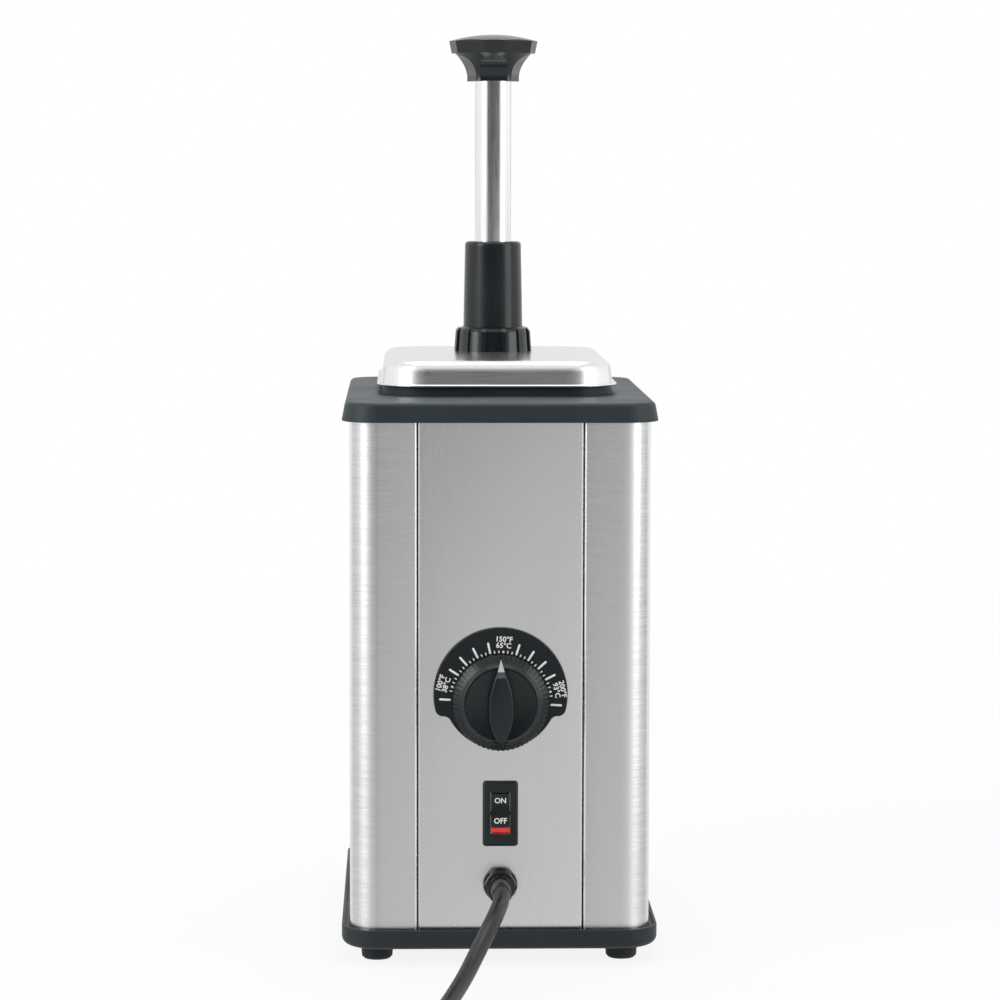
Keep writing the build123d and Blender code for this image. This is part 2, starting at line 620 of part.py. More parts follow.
# ---------------------------------------------------------------- dial
def thermostat_body():
    body = rear_block(THERMOSTAT_SIZE, THERMOSTAT_SIZE, 3, -SHEET - THERMOSTAT_DEPTH, -SHEET, 0, DIAL_HEIGHT)
    body += rear_disc(BUSHING_RADIUS, -SHEET, DIAL_PLATE_THICKNESS, 0, DIAL_HEIGHT)
    body -= rear_disc(SHAFT_RADIUS + RUNNING, -SHAFT_IN_BODY - 1, DIAL_PLATE_THICKNESS, 0, DIAL_HEIGHT)
    for side in (-1, 1):
        x = side * THERMOSTAT_SCREW_SPACING / 2
        body -= rear_disc(THERMOSTAT_SCREW_RADIUS + FIT, -SHEET - 7, -SHEET, x, DIAL_HEIGHT)
    return body


def thermostat_screw(side):
    x = side * THERMOSTAT_SCREW_SPACING / 2
    face = DIAL_PLATE_THICKNESS
    head = rear_disc(THERMOSTAT_HEAD_RADIUS, face, face + THERMOSTAT_HEAD_HEIGHT, x, DIAL_HEIGHT)
    return head + rear_disc(THERMOSTAT_SCREW_RADIUS, -SHEET - 6, face, x, DIAL_HEIGHT)


def dial_plate():
    """Fixed scale plate: a wide upper arc with two ears, and a smaller arc below them."""
    upper = Pos(0, DIAL_PLATE_RISE) * Circle(DIAL_PLATE_RADIUS)
    upper &= Pos(0, -DIAL_PLATE_EAR) * Rectangle(
        4 * DIAL_PLATE_RADIUS, 4 * DIAL_PLATE_RADIUS, align=(Align.CENTER, Align.MIN)
    )
    upper = fillet(upper.vertices(), DIAL_PLATE_EAR_RADIUS)
    outline = upper + Pos(0, DIAL_PLATE_LOW_RISE) * Circle(DIAL_PLATE_LOW_RADIUS)
    notch = math.sqrt(DIAL_PLATE_LOW_RADIUS**2 - (DIAL_PLATE_EAR + DIAL_PLATE_LOW_RISE) ** 2)
    notches = [v for v in outline.vertices() if abs(abs(v.X) - notch) < EASE and v.Y < 0]
    outline = fillet(notches, DIAL_PLATE_EAR_RADIUS)
    outline -= Circle(BUSHING_RADIUS + EASE)
    for side in (-1, 1):
        outline -= Pos(side * THERMOSTAT_SCREW_SPACING / 2, 0) * Circle(THERMOSTAT_SCREW_RADIUS + FIT)
    plate = REAR * Pos(0, DIAL_HEIGHT, 0) * extrude(outline, DIAL_PLATE_THICKNESS)
    rim = [
        e
        for e in plate.edges()
        if abs(e.bounding_box().min.Y + PANEL_FACE + DIAL_PLATE_THICKNESS) < 0.01
        and e.length > 3 * BUSHING_RADIUS * math.pi / 2
    ]
    return chamfer(rim, EASE) if rim else plate


def dial_knob():
    """Skirt with a ring of teeth, a dished grip and a tapering finger bar."""
    low = DIAL_PLATE_THICKNESS + DIAL_GAP
    rim = low + SKIRT_RIM
    shoulder = rim + SKIRT_RISE
    face = low + GRIP_HEIGHT
    hub = SHAFT_RADIUS + 4
    cavity = low + THERMOSTAT_HEAD_HEIGHT + 1.4
    knob = turned(
        [
            (0, low),
            (hub, low),
            (hub, cavity),
            (GRIP_RADIUS, cavity),
            (SKIRT_RADIUS - 2.2, low),
            (SKIRT_RADIUS, low),
            (SKIRT_RADIUS, rim),
            (SKIRT_TOP_RADIUS, shoulder),
            (GRIP_RADIUS, face),
            (GRIP_RADIUS - 1.2, face),
            (GRIP_RADIUS - 2.6, face - 0.9),
            (0, face - 0.9),
        ]
    )
    slope = math.degrees(math.atan2(SKIRT_RISE, SKIRT_RADIUS - SKIRT_TOP_RADIUS))
    middle = (SKIRT_RADIUS + SKIRT_TOP_RADIUS) / 2
    tooth_length = math.hypot(SKIRT_RADIUS - SKIRT_TOP_RADIUS, SKIRT_RISE)
    tooth = Pos(middle, 0, (rim + shoulder) / 2) * Rot(0, slope, 0) * Box(
        tooth_length - 0.6, TOOTH_WIDTH, 2 * TOOTH_HEIGHT
    )
    knob += [Rot(0, 0, 360 * (i + 0.5) / TOOTH_COUNT) * tooth for i in range(TOOTH_COUNT)]
    knob += finger_bar(face - 1.5, face - 0.9 + BAR_HEIGHT, rim)
    knob -= shaft_outline(FIT, low, low + SHAFT_IN_KNOB + EASE)
    return REAR * Pos(0, DIAL_HEIGHT, 0) * knob


def finger_bar(low, high, nose):
    """Grip bar, widest at its middle, whose nose slopes down to the skirt's rim."""
    side = [
        (BAR_NOSE_WIDTH / 2, GRIP_RADIUS - 1),
        (BAR_WIDTH / 2, -1.5),
        (BAR_TAIL_WIDTH / 2, -GRIP_RADIUS + 1),
    ]
    outline = [(-x, y) for x, y in side] + side[::-1] + [(0, SKIRT_RADIUS - 0.4)]
    bar = Pos(0, 0, low) * extrude(make_face(Polyline(*outline, close=True)), high - low, taper=BAR_LEAN)
    foot = Pos(0, 0, nose) * extrude(make_face(Polyline(*outline, close=True)), low - nose)
    bar += foot - disc(SKIRT_TOP_RADIUS - 1.5, nose - 1, low)
    run = SKIRT_RADIUS + 0.6, nose
    top = GRIP_RADIUS - 4.5, high
    wedge = Polyline((0, *run), (0, *top), (0, top[0], high + 9), (0, run[0] + 9, high + 9), close=True)
    return bar - extrude(make_face(wedge), BAR_WIDTH, both=True)


def dial_pointer():
    """Pale triangle let on to the nose of the finger bar."""
    low = DIAL_PLATE_THICKNESS + DIAL_GAP + SKIRT_RIM
    high = DIAL_PLATE_THICKNESS + DIAL_GAP + GRIP_HEIGHT - 0.9 + BAR_HEIGHT
    foot = SKIRT_RADIUS + 0.6, low
    top = GRIP_RADIUS - 4.5, high
    rise = math.hypot(foot[0] - top[0], top[1] - foot[1])
    along = (0, (foot[0] - top[0]) / rise, (foot[1] - top[1]) / rise)
    outward = (0, -along[2], along[1])
    middle = (0, (foot[0] + top[0]) / 2, (foot[1] + top[1]) / 2)
    face = Plane(origin=middle, x_dir=(1, 0, 0), z_dir=outward)
    toward_tip = 1 if face.y_dir.Y > 0 else -1
    shape = Polyline(
        (-POINTER_WIDTH / 2, -toward_tip * POINTER_LENGTH / 2),
        (POINTER_WIDTH / 2, -toward_tip * POINTER_LENGTH / 2),
        (0, toward_tip * POINTER_LENGTH / 2),
        close=True,
    )
    return REAR * Pos(0, DIAL_HEIGHT, 0) * (face * extrude(make_face(shape), POINTER_THICKNESS))


def shaft_outline(grow, low, high):
    """Round shaft with one flat, along the local axis."""
    cut = Pos(0, SHAFT_FLAT + grow) * Rectangle(
        4 * SHAFT_RADIUS, 4 * SHAFT_RADIUS, align=(Align.CENTER, Align.MIN)
    )
    return Pos(0, 0, low) * extrude(Circle(SHAFT_RADIUS + grow) - cut, high - low)


def thermostat_shaft():
    flat_start = DIAL_PLATE_THICKNESS + DIAL_GAP
    shaft = Pos(0, 0, -SHAFT_IN_BODY) * extrude(Circle(SHAFT_RADIUS), SHAFT_IN_BODY + flat_start)
    shaft += shaft_outline(0, flat_start, flat_start + SHAFT_IN_KNOB)
    return REAR * Pos(0, DIAL_HEIGHT, 0) * shaft


# ---------------------------------------------------------------- switch
def rocker_pivot():
    """Distance of the rocker's axis from the panel's face, negative behind it."""
    return BEZEL_THICKNESS - ROCKER_PIVOT_DEPTH


def switch_housing():
    bezel = Pos(0, 0, 0) * extrude(RectangleRounded(BEZEL_WIDTH, BEZEL_HEIGHT, 1.6), BEZEL_THICKNESS)
    bezel = chamfer(outer_edges(bezel, BEZEL_THICKNESS), BEZEL_BEVEL)
    body = Pos(0, 0, -SWITCH_BODY_DEPTH) * extrude(
        Rectangle(SWITCH_BODY_WIDTH, SWITCH_BODY_HEIGHT), SWITCH_BODY_DEPTH
    )
    slot = Pos(0, 0, -SWITCH_BODY_DEPTH / 2) * extrude(
        Rectangle(ROCKER_SLOT_WIDTH, ROCKER_SLOT_HEIGHT), SWITCH_BODY_DEPTH
    )
    pivot = Pos(0, 0, rocker_pivot()) * Rot(0, 90, 0)
    reach = ROCKER_SLOT_WIDTH + 2 * ROCKER_PIVOT_REACH + 2 * EASE
    bore = pivot * extrude(Circle(ROCKER_PIVOT_RADIUS + RUNNING), reach / 2, both=True)
    return REAR * Pos(0, SWITCH_HEIGHT, 0) * (bezel + body - slot - bore)


def rocker():
    """Rocker at rest with its upper end pressed in; it turns in the bezel on two stub pins."""
    reach = ROCKER_SLOT_HEIGHT / 2 - ROCKER_GAP
    angle = math.asin(ROCKER_PIVOT_DEPTH / reach) + math.radians(ROCKER_TILT)
    end, proud = reach * math.cos(angle), reach * math.sin(angle)
    foot = math.sqrt(reach**2 - ROCKER_FOOT**2)
    face = make_face(
        [
            ThreePointArc((end, proud), (0, proud - ROCKER_DISH), (-end, proud)),
            ThreePointArc((-end, proud), (-reach, 0), (-foot, -ROCKER_FOOT)),
            Line((-foot, -ROCKER_FOOT), (foot, -ROCKER_FOOT)),
            ThreePointArc((foot, -ROCKER_FOOT), (reach, 0), (end, proud)),
        ]
    )
    side = Plane(origin=(0, 0, 0), x_dir=(0, 1, 0), z_dir=(1, 0, 0))
    width = ROCKER_SLOT_WIDTH - 2 * ROCKER_GAP
    body = extrude(side * face, width / 2, both=True)
    pins = extrude(side * Circle(ROCKER_PIVOT_RADIUS), width / 2 + ROCKER_GAP + ROCKER_PIVOT_REACH, both=True)
    return REAR * Pos(0, SWITCH_HEIGHT, rocker_pivot()) * Rot(-ROCKER_TILT, 0, 0) * (body + pins)


def terminal_tabs():
    """Spade tabs on the backs of the thermostat and the switch."""
    tabs = []
    back = -SHEET - THERMOSTAT_DEPTH
    for x in (-10.0, 10.0):
        tabs.append(rear_block(TAB_THICKNESS, TAB_WIDTH, 0, back - TAB_LENGTH, back, x, DIAL_HEIGHT + 8))
    for rise in (-8.0, 0.0, 8.0):
        start = -SWITCH_BODY_DEPTH - TAB_LENGTH
        tabs.append(
            rear_block(TAB_WIDTH, TAB_THICKNESS, 0, start, -SWITCH_BODY_DEPTH, 0, SWITCH_HEIGHT + rise)
        )
    return Compound(children=tabs)


# ---------------------------------------------------------------- cord
def strain_relief():
    points = [
        (0, -SHEET - RELIEF_BARREL_DEPTH),
        (RELIEF_BARREL_RADIUS - 1, -SHEET - RELIEF_BARREL_DEPTH),
        (RELIEF_BARREL_RADIUS, -SHEET - RELIEF_BARREL_DEPTH + 2),
        (RELIEF_BARREL_RADIUS, 0),
        (RELIEF_FLANGE_RADIUS, 0),
        (RELIEF_FLANGE_RADIUS, RELIEF_FLANGE - 1),
        (RELIEF_FLANGE_RADIUS - 1, RELIEF_FLANGE),
        (RELIEF_HUB_RADIUS, RELIEF_FLANGE),
        (RELIEF_HUB_RADIUS - 0.3, RELIEF_FLANGE + 3),
        (RELIEF_TIP_RADIUS, RELIEF_LENGTH - 1),
        (RELIEF_TIP_RADIUS - 0.4, RELIEF_LENGTH),
        (0, RELIEF_LENGTH),
    ]
    return REAR * Pos(0, RELIEF_HEIGHT, 0) * turned(points)


def corner_radii(points):
    """Arc radius at each inner point: 0.45 of the shorter run over the tangent of half the turn."""
    radii = []
    for a, b, c in zip(points, points[1:], points[2:]):
        before, after = Vector(*b) - Vector(*a), Vector(*c) - Vector(*b)
        half_turn = math.radians(before.get_angle(after)) / 2
        radii.append(0.45 * min(before.length, after.length) / math.tan(half_turn))
    return radii


def cord_lead():
    """Free cord from the strain relief down to the floor and along it to the coil."""
    start = (0.0, -PANEL_FACE - RELIEF_LENGTH, RELIEF_HEIGHT)
    route = [start] + CORD_ROUTE[1:]
    radii = corner_radii(route)
    print("cord arc radii in diameters:", [round(r / (2 * CORD_RADIUS), 1) for r in radii])
    path = FilletPolyline(*route, radius=radii)
    lead = swept(path, CORD_RADIUS)
    report("cord lead", path, lead)
    return lead


def coil_path():
    """Loops that spiral in on the floor, climb one layer in a half turn, and spiral out above."""
    pitch = 2 * CORD_RADIUS + COIL_GAP
    x, y, z = CORD_ROUTE[-1]
    runs = [Line((x, y, z), (x, y - 2 * CORD_RADIUS, z))]
    y -= 2 * CORD_RADIUS
    side = -1  # -1 where the next half turn starts at the coil's left, +1 at its right
    radius = COIL_RADIUS
    for turn in range(COIL_HALF_TURNS_IN):
        runs.append(half_turn(x, y, z, radius, side))
        x -= 2 * radius * side
        side = -side
        radius -= pitch / 2
    runs += climbing_half_turn(x, y, z, radius, side, pitch)
    x -= 2 * radius * side
    z += pitch
    side = -side
    for turn in range(COIL_HALF_TURNS_OUT):
        radius += pitch / 2
        runs.append(half_turn(x, y, z, radius, side))
        x -= 2 * radius * side
        side = -side
    radius += pitch / 2
    middle = radius * math.sqrt(0.5)
    centre = x - side * radius
    halfway = (centre + side * middle, y + side * middle, z)
    runs.append(ThreePointArc((x, y, z), halfway, (centre, y + side * radius, z)))
    x, y = centre, y + side * radius
    runs.append(Line((x, y, z), (x + COIL_TAIL, y, z)))
    return Wire(runs), Vector(x + COIL_TAIL, y, z)


def half_turn(x, y, z, radius, side):
    """Flat half circle, anticlockwise from above, starting at the coil's left (-1) or right (+1)."""
    centre = x - side * radius
    return ThreePointArc((x, y, z), (centre, y + side * radius, z), (centre - side * radius, y, z))


def climbing_half_turn(x, y, z, radius, side, rise):
    """Two tilted quarter circles that leave and arrive level, one layer apart."""
    bulge = math.hypot(radius, rise / 2)
    centre = x - side * radius
    start = Vector(x, y, z)
    top = Vector(centre, y + side * bulge, z + rise / 2)
    end = Vector(centre - side * radius, y, z + rise)
    first = TangentArc(start, top, tangent=(0, side, 0))
    second = TangentArc(end, top, tangent=(0, side, 0))
    return [first, second]


def least_self_gap(path, radius, step=2.0, skip=6.0):
    """Smallest distance between surfaces of a tube and itself, measured on points of its path."""
    count = int(path.length / step)
    points = [path @ (i / count) for i in range(count + 1)]
    apart = int(skip * radius / step)
    least = 1e9
    for i, a in enumerate(points):
        for b in points[i + apart :]:
            least = min(least, (a - b).length)
    return least - 2 * radius


def report(name, path, tube):
    ratio = tube.volume / (math.pi * CORD_RADIUS**2 * path.length)
    print(name, "length", round(path.length, 1), "volume over section times length", round(ratio, 4))


def cord_coil():
    path, _ = coil_path()
    coil = swept(path, CORD_RADIUS)
    report("coil", path, coil)
    print("coil least gap", round(least_self_gap(path, CORD_RADIUS), 3))
    return coil


def plug_frame():
    """Plug's own frame: z along the cord's end toward the blades, y up."""
    _, end = coil_path()
    return Plane(origin=end, x_dir=(0, 1, 0), z_dir=(1, 0, 0))


def plug_body():
    widening = (PLUG_NECK_RADIUS - PLUG_RELIEF_RADIUS) / PLUG_RELIEF_LENGTH
    outline = [(0, 0), (PLUG_RELIEF_RADIUS, 0), (PLUG_NECK_RADIUS, PLUG_RELIEF_LENGTH)]
    relief = turned(outline + [(0, PLUG_RELIEF_LENGTH)])
    for low in (4.0, 9.0, 14.0):
        relief += disc(PLUG_RELIEF_RADIUS + widening * low + 0.8, low, low + 2.4)
    neck = Pos(0, 0, PLUG_RELIEF_LENGTH) * Circle(PLUG_NECK_RADIUS)
    grip = PLUG_LENGTH * 0.6
    shoulder = Pos(0, 0, PLUG_RELIEF_LENGTH + PLUG_LENGTH - grip) * RectangleRounded(
        PLUG_WIDTH, PLUG_HEIGHT, PLUG_CORNER
    )
    body = loft([neck, shoulder], ruled=True)
    face_low = PLUG_RELIEF_LENGTH + PLUG_LENGTH - grip
    body += Pos(0, 0, face_low) * extrude(RectangleRounded(PLUG_WIDTH, PLUG_HEIGHT, PLUG_CORNER), grip)
    body += relief
    tip = PLUG_RELIEF_LENGTH + PLUG_LENGTH
    for side in (-1, 1):
        body -= Pos(side * BLADE_SPACING / 2, -BLADE_DROP, tip - BLADE_SEAT) * extrude(
            Rectangle(BLADE_THICKNESS + 2 * FIT, BLADE_WIDTH + 2 * FIT), BLADE_SEAT
        )
    body -= Pos(0, PIN_ABOVE_BLADES - BLADE_DROP, tip - BLADE_SEAT) * extrude(
        Circle(PIN_RADIUS + FIT), BLADE_SEAT
    )
    return plug_frame() * body


def plug_blade(side):
    tip = PLUG_RELIEF_LENGTH + PLUG_LENGTH
    blade = extrude(Rectangle(BLADE_THICKNESS, BLADE_WIDTH), BLADE_LENGTH + BLADE_SEAT)
    blade = chamfer(outer_edges(blade, BLADE_LENGTH + BLADE_SEAT), BLADE_THICKNESS / 4)
    return plug_frame() * Pos(side * BLADE_SPACING / 2, -BLADE_DROP, tip - BLADE_SEAT) * blade


def plug_ground_pin():
    tip = PLUG_RELIEF_LENGTH + PLUG_LENGTH
    pin = extrude(Circle(PIN_RADIUS), PIN_LENGTH + BLADE_SEAT)
    pin = chamfer(outer_edges(pin, PIN_LENGTH + BLADE_SEAT), PIN_RADIUS / 2)
    return plug_frame() * Pos(0, PIN_ABOVE_BLADES - BLADE_DROP, tip - BLADE_SEAT) * pin


# ---------------------------------------------------------------- jar
def jar():
    outside = Pos(0, JAR_Y, JAR_TOP) * extrude(
        RectangleRounded(JAR_WIDTH, JAR_LENGTH, JAR_CORNER), -JAR_DEPTH, taper=JAR_DRAFT
    )
    outside = fillet(outer_edges(outside, JAR_LOW), JAR_FLOOR_RADIUS)
    width, length, corner = JAR_WIDTH - 2 * JAR_WALL, JAR_LENGTH - 2 * JAR_WALL, JAR_CORNER - JAR_WALL
    inside = Pos(0, JAR_Y, JAR_TOP) * extrude(
        RectangleRounded(width, length, corner), -JAR_DEPTH + JAR_WALL, taper=JAR_DRAFT
    )
    inside = fillet(outer_edges(inside, JAR_LOW + JAR_WALL), JAR_FLOOR_RADIUS - JAR_WALL)
    over = 2 * BEAD_OVERHANG
    outline = JAR_WIDTH + over, JAR_LENGTH + over, JAR_CORNER + over / 2
    bead = block(*outline, COVER_TOP, COVER_TOP + BEAD_HEIGHT, JAR_Y)
    for height in (COVER_TOP, COVER_TOP + BEAD_HEIGHT):
        bead = fillet(outer_edges(bead, height), BEAD_EDGE)
    return outside + bead - inside


# ---------------------------------------------------------------- pump
def lid_shell(width, length, corner, low, high, edge):
    body = block(width, length, corner, low, high, JAR_Y, taper=LID_TAPER)
    return fillet(outer_edges(body, high), edge)


def lid():
    """Inverted pan with rounded top edges and a thin outward lip."""
    width, length, corner = LID_WIDTH - 2 * LID_LIP, LID_LENGTH - 2 * LID_LIP, LID_CORNER - LID_LIP
    shell = lid_shell(width, length, corner, LID_LOW, LID_TOP, LID_EDGE)
    shell += block(LID_WIDTH, LID_LENGTH, LID_CORNER, LID_LOW, LID_LOW + LID_SHEET, JAR_Y)
    wall = LID_SHEET / math.cos(math.radians(LID_TAPER))
    inner = width - 2 * wall, length - 2 * wall, corner - wall
    shell -= lid_shell(*inner, LID_LOW, LID_UNDER, LID_EDGE - LID_SHEET)
    shell -= disc(HEAD_RADIUS + LOOSE, LID_UNDER, LID_TOP, 0, PUMP_Y)
    return shell - disc(RISER_RADIUS + LOOSE, LID_UNDER, LID_TOP, 0, RISER_Y)


def pump_cylinder():
    """Stepped barrel: a wide spring chamber above, a narrow pumping bore below, clamped under the lid."""
    return turned(
        [
            (LOWER_BORE, LOWER_LOW),
            (LOWER_RADIUS, LOWER_LOW),
            (LOWER_RADIUS, SEAT_Z - 3),
            (CYLINDER_RADIUS, SEAT_Z - 3),
            (CYLINDER_RADIUS, LID_UNDER - CYLINDER_FLANGE),
            (CYLINDER_FLANGE_RADIUS, LID_UNDER - CYLINDER_FLANGE),
            (CYLINDER_FLANGE_RADIUS, LID_UNDER),
            (HEAD_RADIUS, LID_UNDER),
            (HEAD_RADIUS, SLEEVE_SEAT),
            (CYLINDER_BORE, SLEEVE_SEAT),
            (CYLINDER_BORE, SEAT_Z),
            (LOWER_BORE, SEAT_Z),
        ],
        0,
        PUMP_Y,
    )


def valve_body():
    """Foot of the pump: socket for the barrel, caged inlet ball and a side port to the riser."""
    foot = disc(VALVE_RADIUS, VALVE_LOW, VALVE_TOP, 0, PUMP_Y)
    foot += disc(VALVE_ARM_RADIUS, VALVE_LOW, VALVE_LOW + VALVE_ARM_HEIGHT, 0, RISER_Y)
    web = Pos(0, (PUMP_Y + RISER_Y) / 2, VALVE_LOW) * Box(
        1.6 * VALVE_ARM_RADIUS, RISER_OFFSET, VALVE_HEIGHT, align=(Align.CENTER, Align.CENTER, Align.MIN)
    )
    foot += web
    foot -= disc(LOWER_RADIUS + FIT, LOWER_LOW, VALVE_TOP, 0, PUMP_Y)
    foot -= disc(CAGE_RADIUS, ball_seat(), LOWER_LOW, 0, PUMP_Y)
    foot -= disc(INLET_RADIUS, VALVE_LOW, ball_seat(), 0, PUMP_Y)
    port = Plane(origin=(0, PUMP_Y, ball_centre() + 1), z_dir=(0, 1, 0))
    foot -= port * extrude(Circle(PORT_RADIUS), RISER_OFFSET)
    foot -= disc(BEAK_RADIUS, ball_centre() + 1, riser_low(), 0, RISER_Y)
    foot -= disc(RISER_RADIUS + FIT, riser_low() - BEAK_FLANGE, VALVE_LOW + VALVE_ARM_HEIGHT, 0, RISER_Y)
    return foot - pin_line() * extrude(Circle(CAGE_PIN_RADIUS + FIT), VALVE_RADIUS + 1, both=True)


def ball_seat():
    return VALVE_LOW + 1.6


def ball_centre():
    """Ball at rest, just clear of the seat's edge."""
    return ball_seat() + math.sqrt(BALL_RADIUS**2 - INLET_RADIUS**2) + RUNNING


def riser_low():
    return VALVE_LOW + VALVE_ARM_HEIGHT - 8


def ball_pin():
    """Pin across the cage that stops the ball at full lift."""
    return pin_line() * extrude(Circle(CAGE_PIN_RADIUS), VALVE_RADIUS - 1, both=True)


def pin_line():
    z = ball_centre() + BALL_RADIUS + BALL_LIFT + 0.3 + CAGE_PIN_RADIUS
    return Plane(origin=(0, PUMP_Y, z), z_dir=(1, 0, 0))


def duckbill_valve():
    """Rubber beak in the riser's foot that lets the topping pass upward only."""
    low = riser_low()
    flange = disc(RISER_RADIUS, low - BEAK_FLANGE, low, 0, RISER_Y)
    foot, tip = Pos(0, RISER_Y, low), Pos(0, RISER_Y, low + BEAK_HEIGHT)
    beak = loft([foot * Circle(BEAK_RADIUS), tip * Rectangle(2 * BEAK_RADIUS, BEAK_LIP)])
    root = Pos(0, RISER_Y, low - BEAK_FLANGE)
    slit = tip * Rectangle(2 * BEAK_RADIUS - BEAK_LIP, BEAK_LIP / 3)
    return flange + beak - loft([root * Circle(BEAK_RADIUS - BEAK_LIP / 2), slit])


def discharge_riser():
    top = LID_TOP + SPOUT_NUT_HEIGHT
    return ring(RISER_RADIUS, RISER_RADIUS - RISER_WALL, riser_low(), top, 0, RISER_Y)


def spout():
    """Tube bent over the jar's front so that the topping falls clear of the housing."""
    low = LID_TOP + SPOUT_NUT_HEIGHT
    top = low + SPOUT_RISE
    far = RISER_Y + SPOUT_REACH
    route = [(0, RISER_Y, low), (0, RISER_Y, top), (0, far, top), (0, far, top - SPOUT_DROP)]
    return swept(FilletPolyline(*route, radius=SPOUT_BEND), RISER_RADIUS, RISER_RADIUS - RISER_WALL)


def spout_nut():
    nut = ring(SPOUT_NUT_RADIUS, RISER_RADIUS + FIT, LID_TOP, LID_TOP + SPOUT_NUT_HEIGHT, 0, RISER_Y)
    return chamfer(outer_edges(nut, LID_TOP + SPOUT_NUT_HEIGHT), 0.6)


def pump_sleeve():
    """Tapered guide that stands in the collar, with a bearing land near its top."""
    bore = TUBE_RADIUS + SLEEVE_RELIEF
    land = TUBE_RADIUS + RUNNING
    land_low = SLEEVE_TOP - 2 - SLEEVE_LAND
    neck = SLEEVE_SEAT + SLEEVE_FLANGE
    sleeve = turned(
        [
            (bore, SLEEVE_SEAT),
            (HEAD_RADIUS, SLEEVE_SEAT),
            (HEAD_RADIUS, neck),
            (SLEEVE_RADIUS, neck),
            (SLEEVE_RADIUS, COLLAR_TOP),
            (SLEEVE_TOP_RADIUS, SLEEVE_TOP),
            (land, SLEEVE_TOP),
            (land, land_low),
            (bore, land_low),
        ],
        0,
        PUMP_Y,
    )
    rim = [e for e in outer_edges(sleeve, SLEEVE_TOP) if e.length > 2 * math.pi * (TUBE_RADIUS + 2)]
    return fillet(rim, 2.0)


def locking_collar():
    """Fluted collar that clamps the sleeve and the barrel to the lid."""
    lip_low = COLLAR_TOP - COLLAR_LIP
    bore = HEAD_RADIUS + LOOSE
    shoulder = COLLAR_TOP - 2.2
    collar = turned(
        [
            (bore, LID_TOP),
            (COLLAR_RADIUS, LID_TOP),
            (COLLAR_TOP_RADIUS, shoulder),
            (COLLAR_TOP_RADIUS - 0.8, COLLAR_TOP - 0.7),
            (COLLAR_TOP_RADIUS - 2.2, COLLAR_TOP),
            (SLEEVE_RADIUS + LOOSE, COLLAR_TOP),
            (SLEEVE_RADIUS + LOOSE, lip_low),
            (bore, lip_low),
        ],
        0,
        PUMP_Y,
    )
    rib = turned(
        [
            (bore + EASE, LID_TOP),
            (COLLAR_RADIUS + COLLAR_RIB_HEIGHT, LID_TOP),
            (COLLAR_TOP_RADIUS + COLLAR_RIB_HEIGHT, shoulder),
            (COLLAR_TOP_RADIUS - 0.4, COLLAR_TOP - 0.5),
            (bore + EASE, COLLAR_TOP - 0.5),
        ]
    )
    slab = Pos(0, 0, LID_TOP) * Box(
        60, COLLAR_RIB_WIDTH, COLLAR_HEIGHT, align=(Align.MIN, Align.CENTER, Align.MIN)
    )
    rib = rib & slab
    for i in range(COLLAR_RIBS):
        collar += Pos(0, PUMP_Y, 0) * Rot(0, 0, 360 * (i + 0.5) / COLLAR_RIBS) * rib
    return collar


def return_spring():
    """Round wire wound up the spring chamber in level-ended half turns."""
    low = SEAT_Z + SPRING_WIRE_RADIUS + FIT
    high = stop_low() - SPRING_WIRE_RADIUS - FIT
    rise = (high - low) / (2 * SPRING_TURNS)
    runs = []
    x, side, z = SPRING_RADIUS, 1, low
    for _ in range(2 * SPRING_TURNS):
        runs += climbing_half_turn(x, PUMP_Y, z, SPRING_RADIUS, side, rise)
        x -= 2 * SPRING_RADIUS * side
        side = -side
        z += rise
    return swept(Wire(runs), SPRING_WIRE_RADIUS)


# ---------------------------------------------------------------- plunger
def stop_low():
    return SLEEVE_SEAT - STOP_HEIGHT


def stop_ring():
    return ring(STOP_RADIUS, TUBE_RADIUS + FIT, stop_low(), SLEEVE_SEAT, 0, PUMP_Y)


def plunger_tube():
    top = KNOB_LOW + KNOB_SOCKET
    return ring(TUBE_RADIUS, TUBE_RADIUS - TUBE_WALL, PISTON_TOP - TUBE_SEAT, top, 0, PUMP_Y)


def seal_levels():
    return [PISTON_LOW + 1.6, PISTON_LOW + 3.4 + SEAL_HEIGHT]


def piston():
    """Piston plugged into the plunger tube, with two seal grooves."""
    groove = PISTON_RADIUS - PISTON_GROOVE
    socket = TUBE_RADIUS - TUBE_WALL - FIT
    points = [(0, PISTON_LOW), (PISTON_RADIUS, PISTON_LOW)]
    for low in seal_levels():
        high = low + SEAL_HEIGHT
        points += [(PISTON_RADIUS, low), (groove, low), (groove, high), (PISTON_RADIUS, high)]
    seat = PISTON_TOP - TUBE_SEAT
    points += [(PISTON_RADIUS, PISTON_TOP), (TUBE_RADIUS + FIT, PISTON_TOP), (TUBE_RADIUS + FIT, seat)]
    points += [(socket, seat), (socket, PISTON_TOP + 6), (0, PISTON_TOP + 6)]
    return turned(points, 0, PUMP_Y)


def piston_seal(low):
    inner = PISTON_RADIUS - PISTON_GROOVE + FIT
    return ring(LOWER_BORE - RUNNING, inner, low + FIT, low + SEAL_HEIGHT - FIT, 0, PUMP_Y)


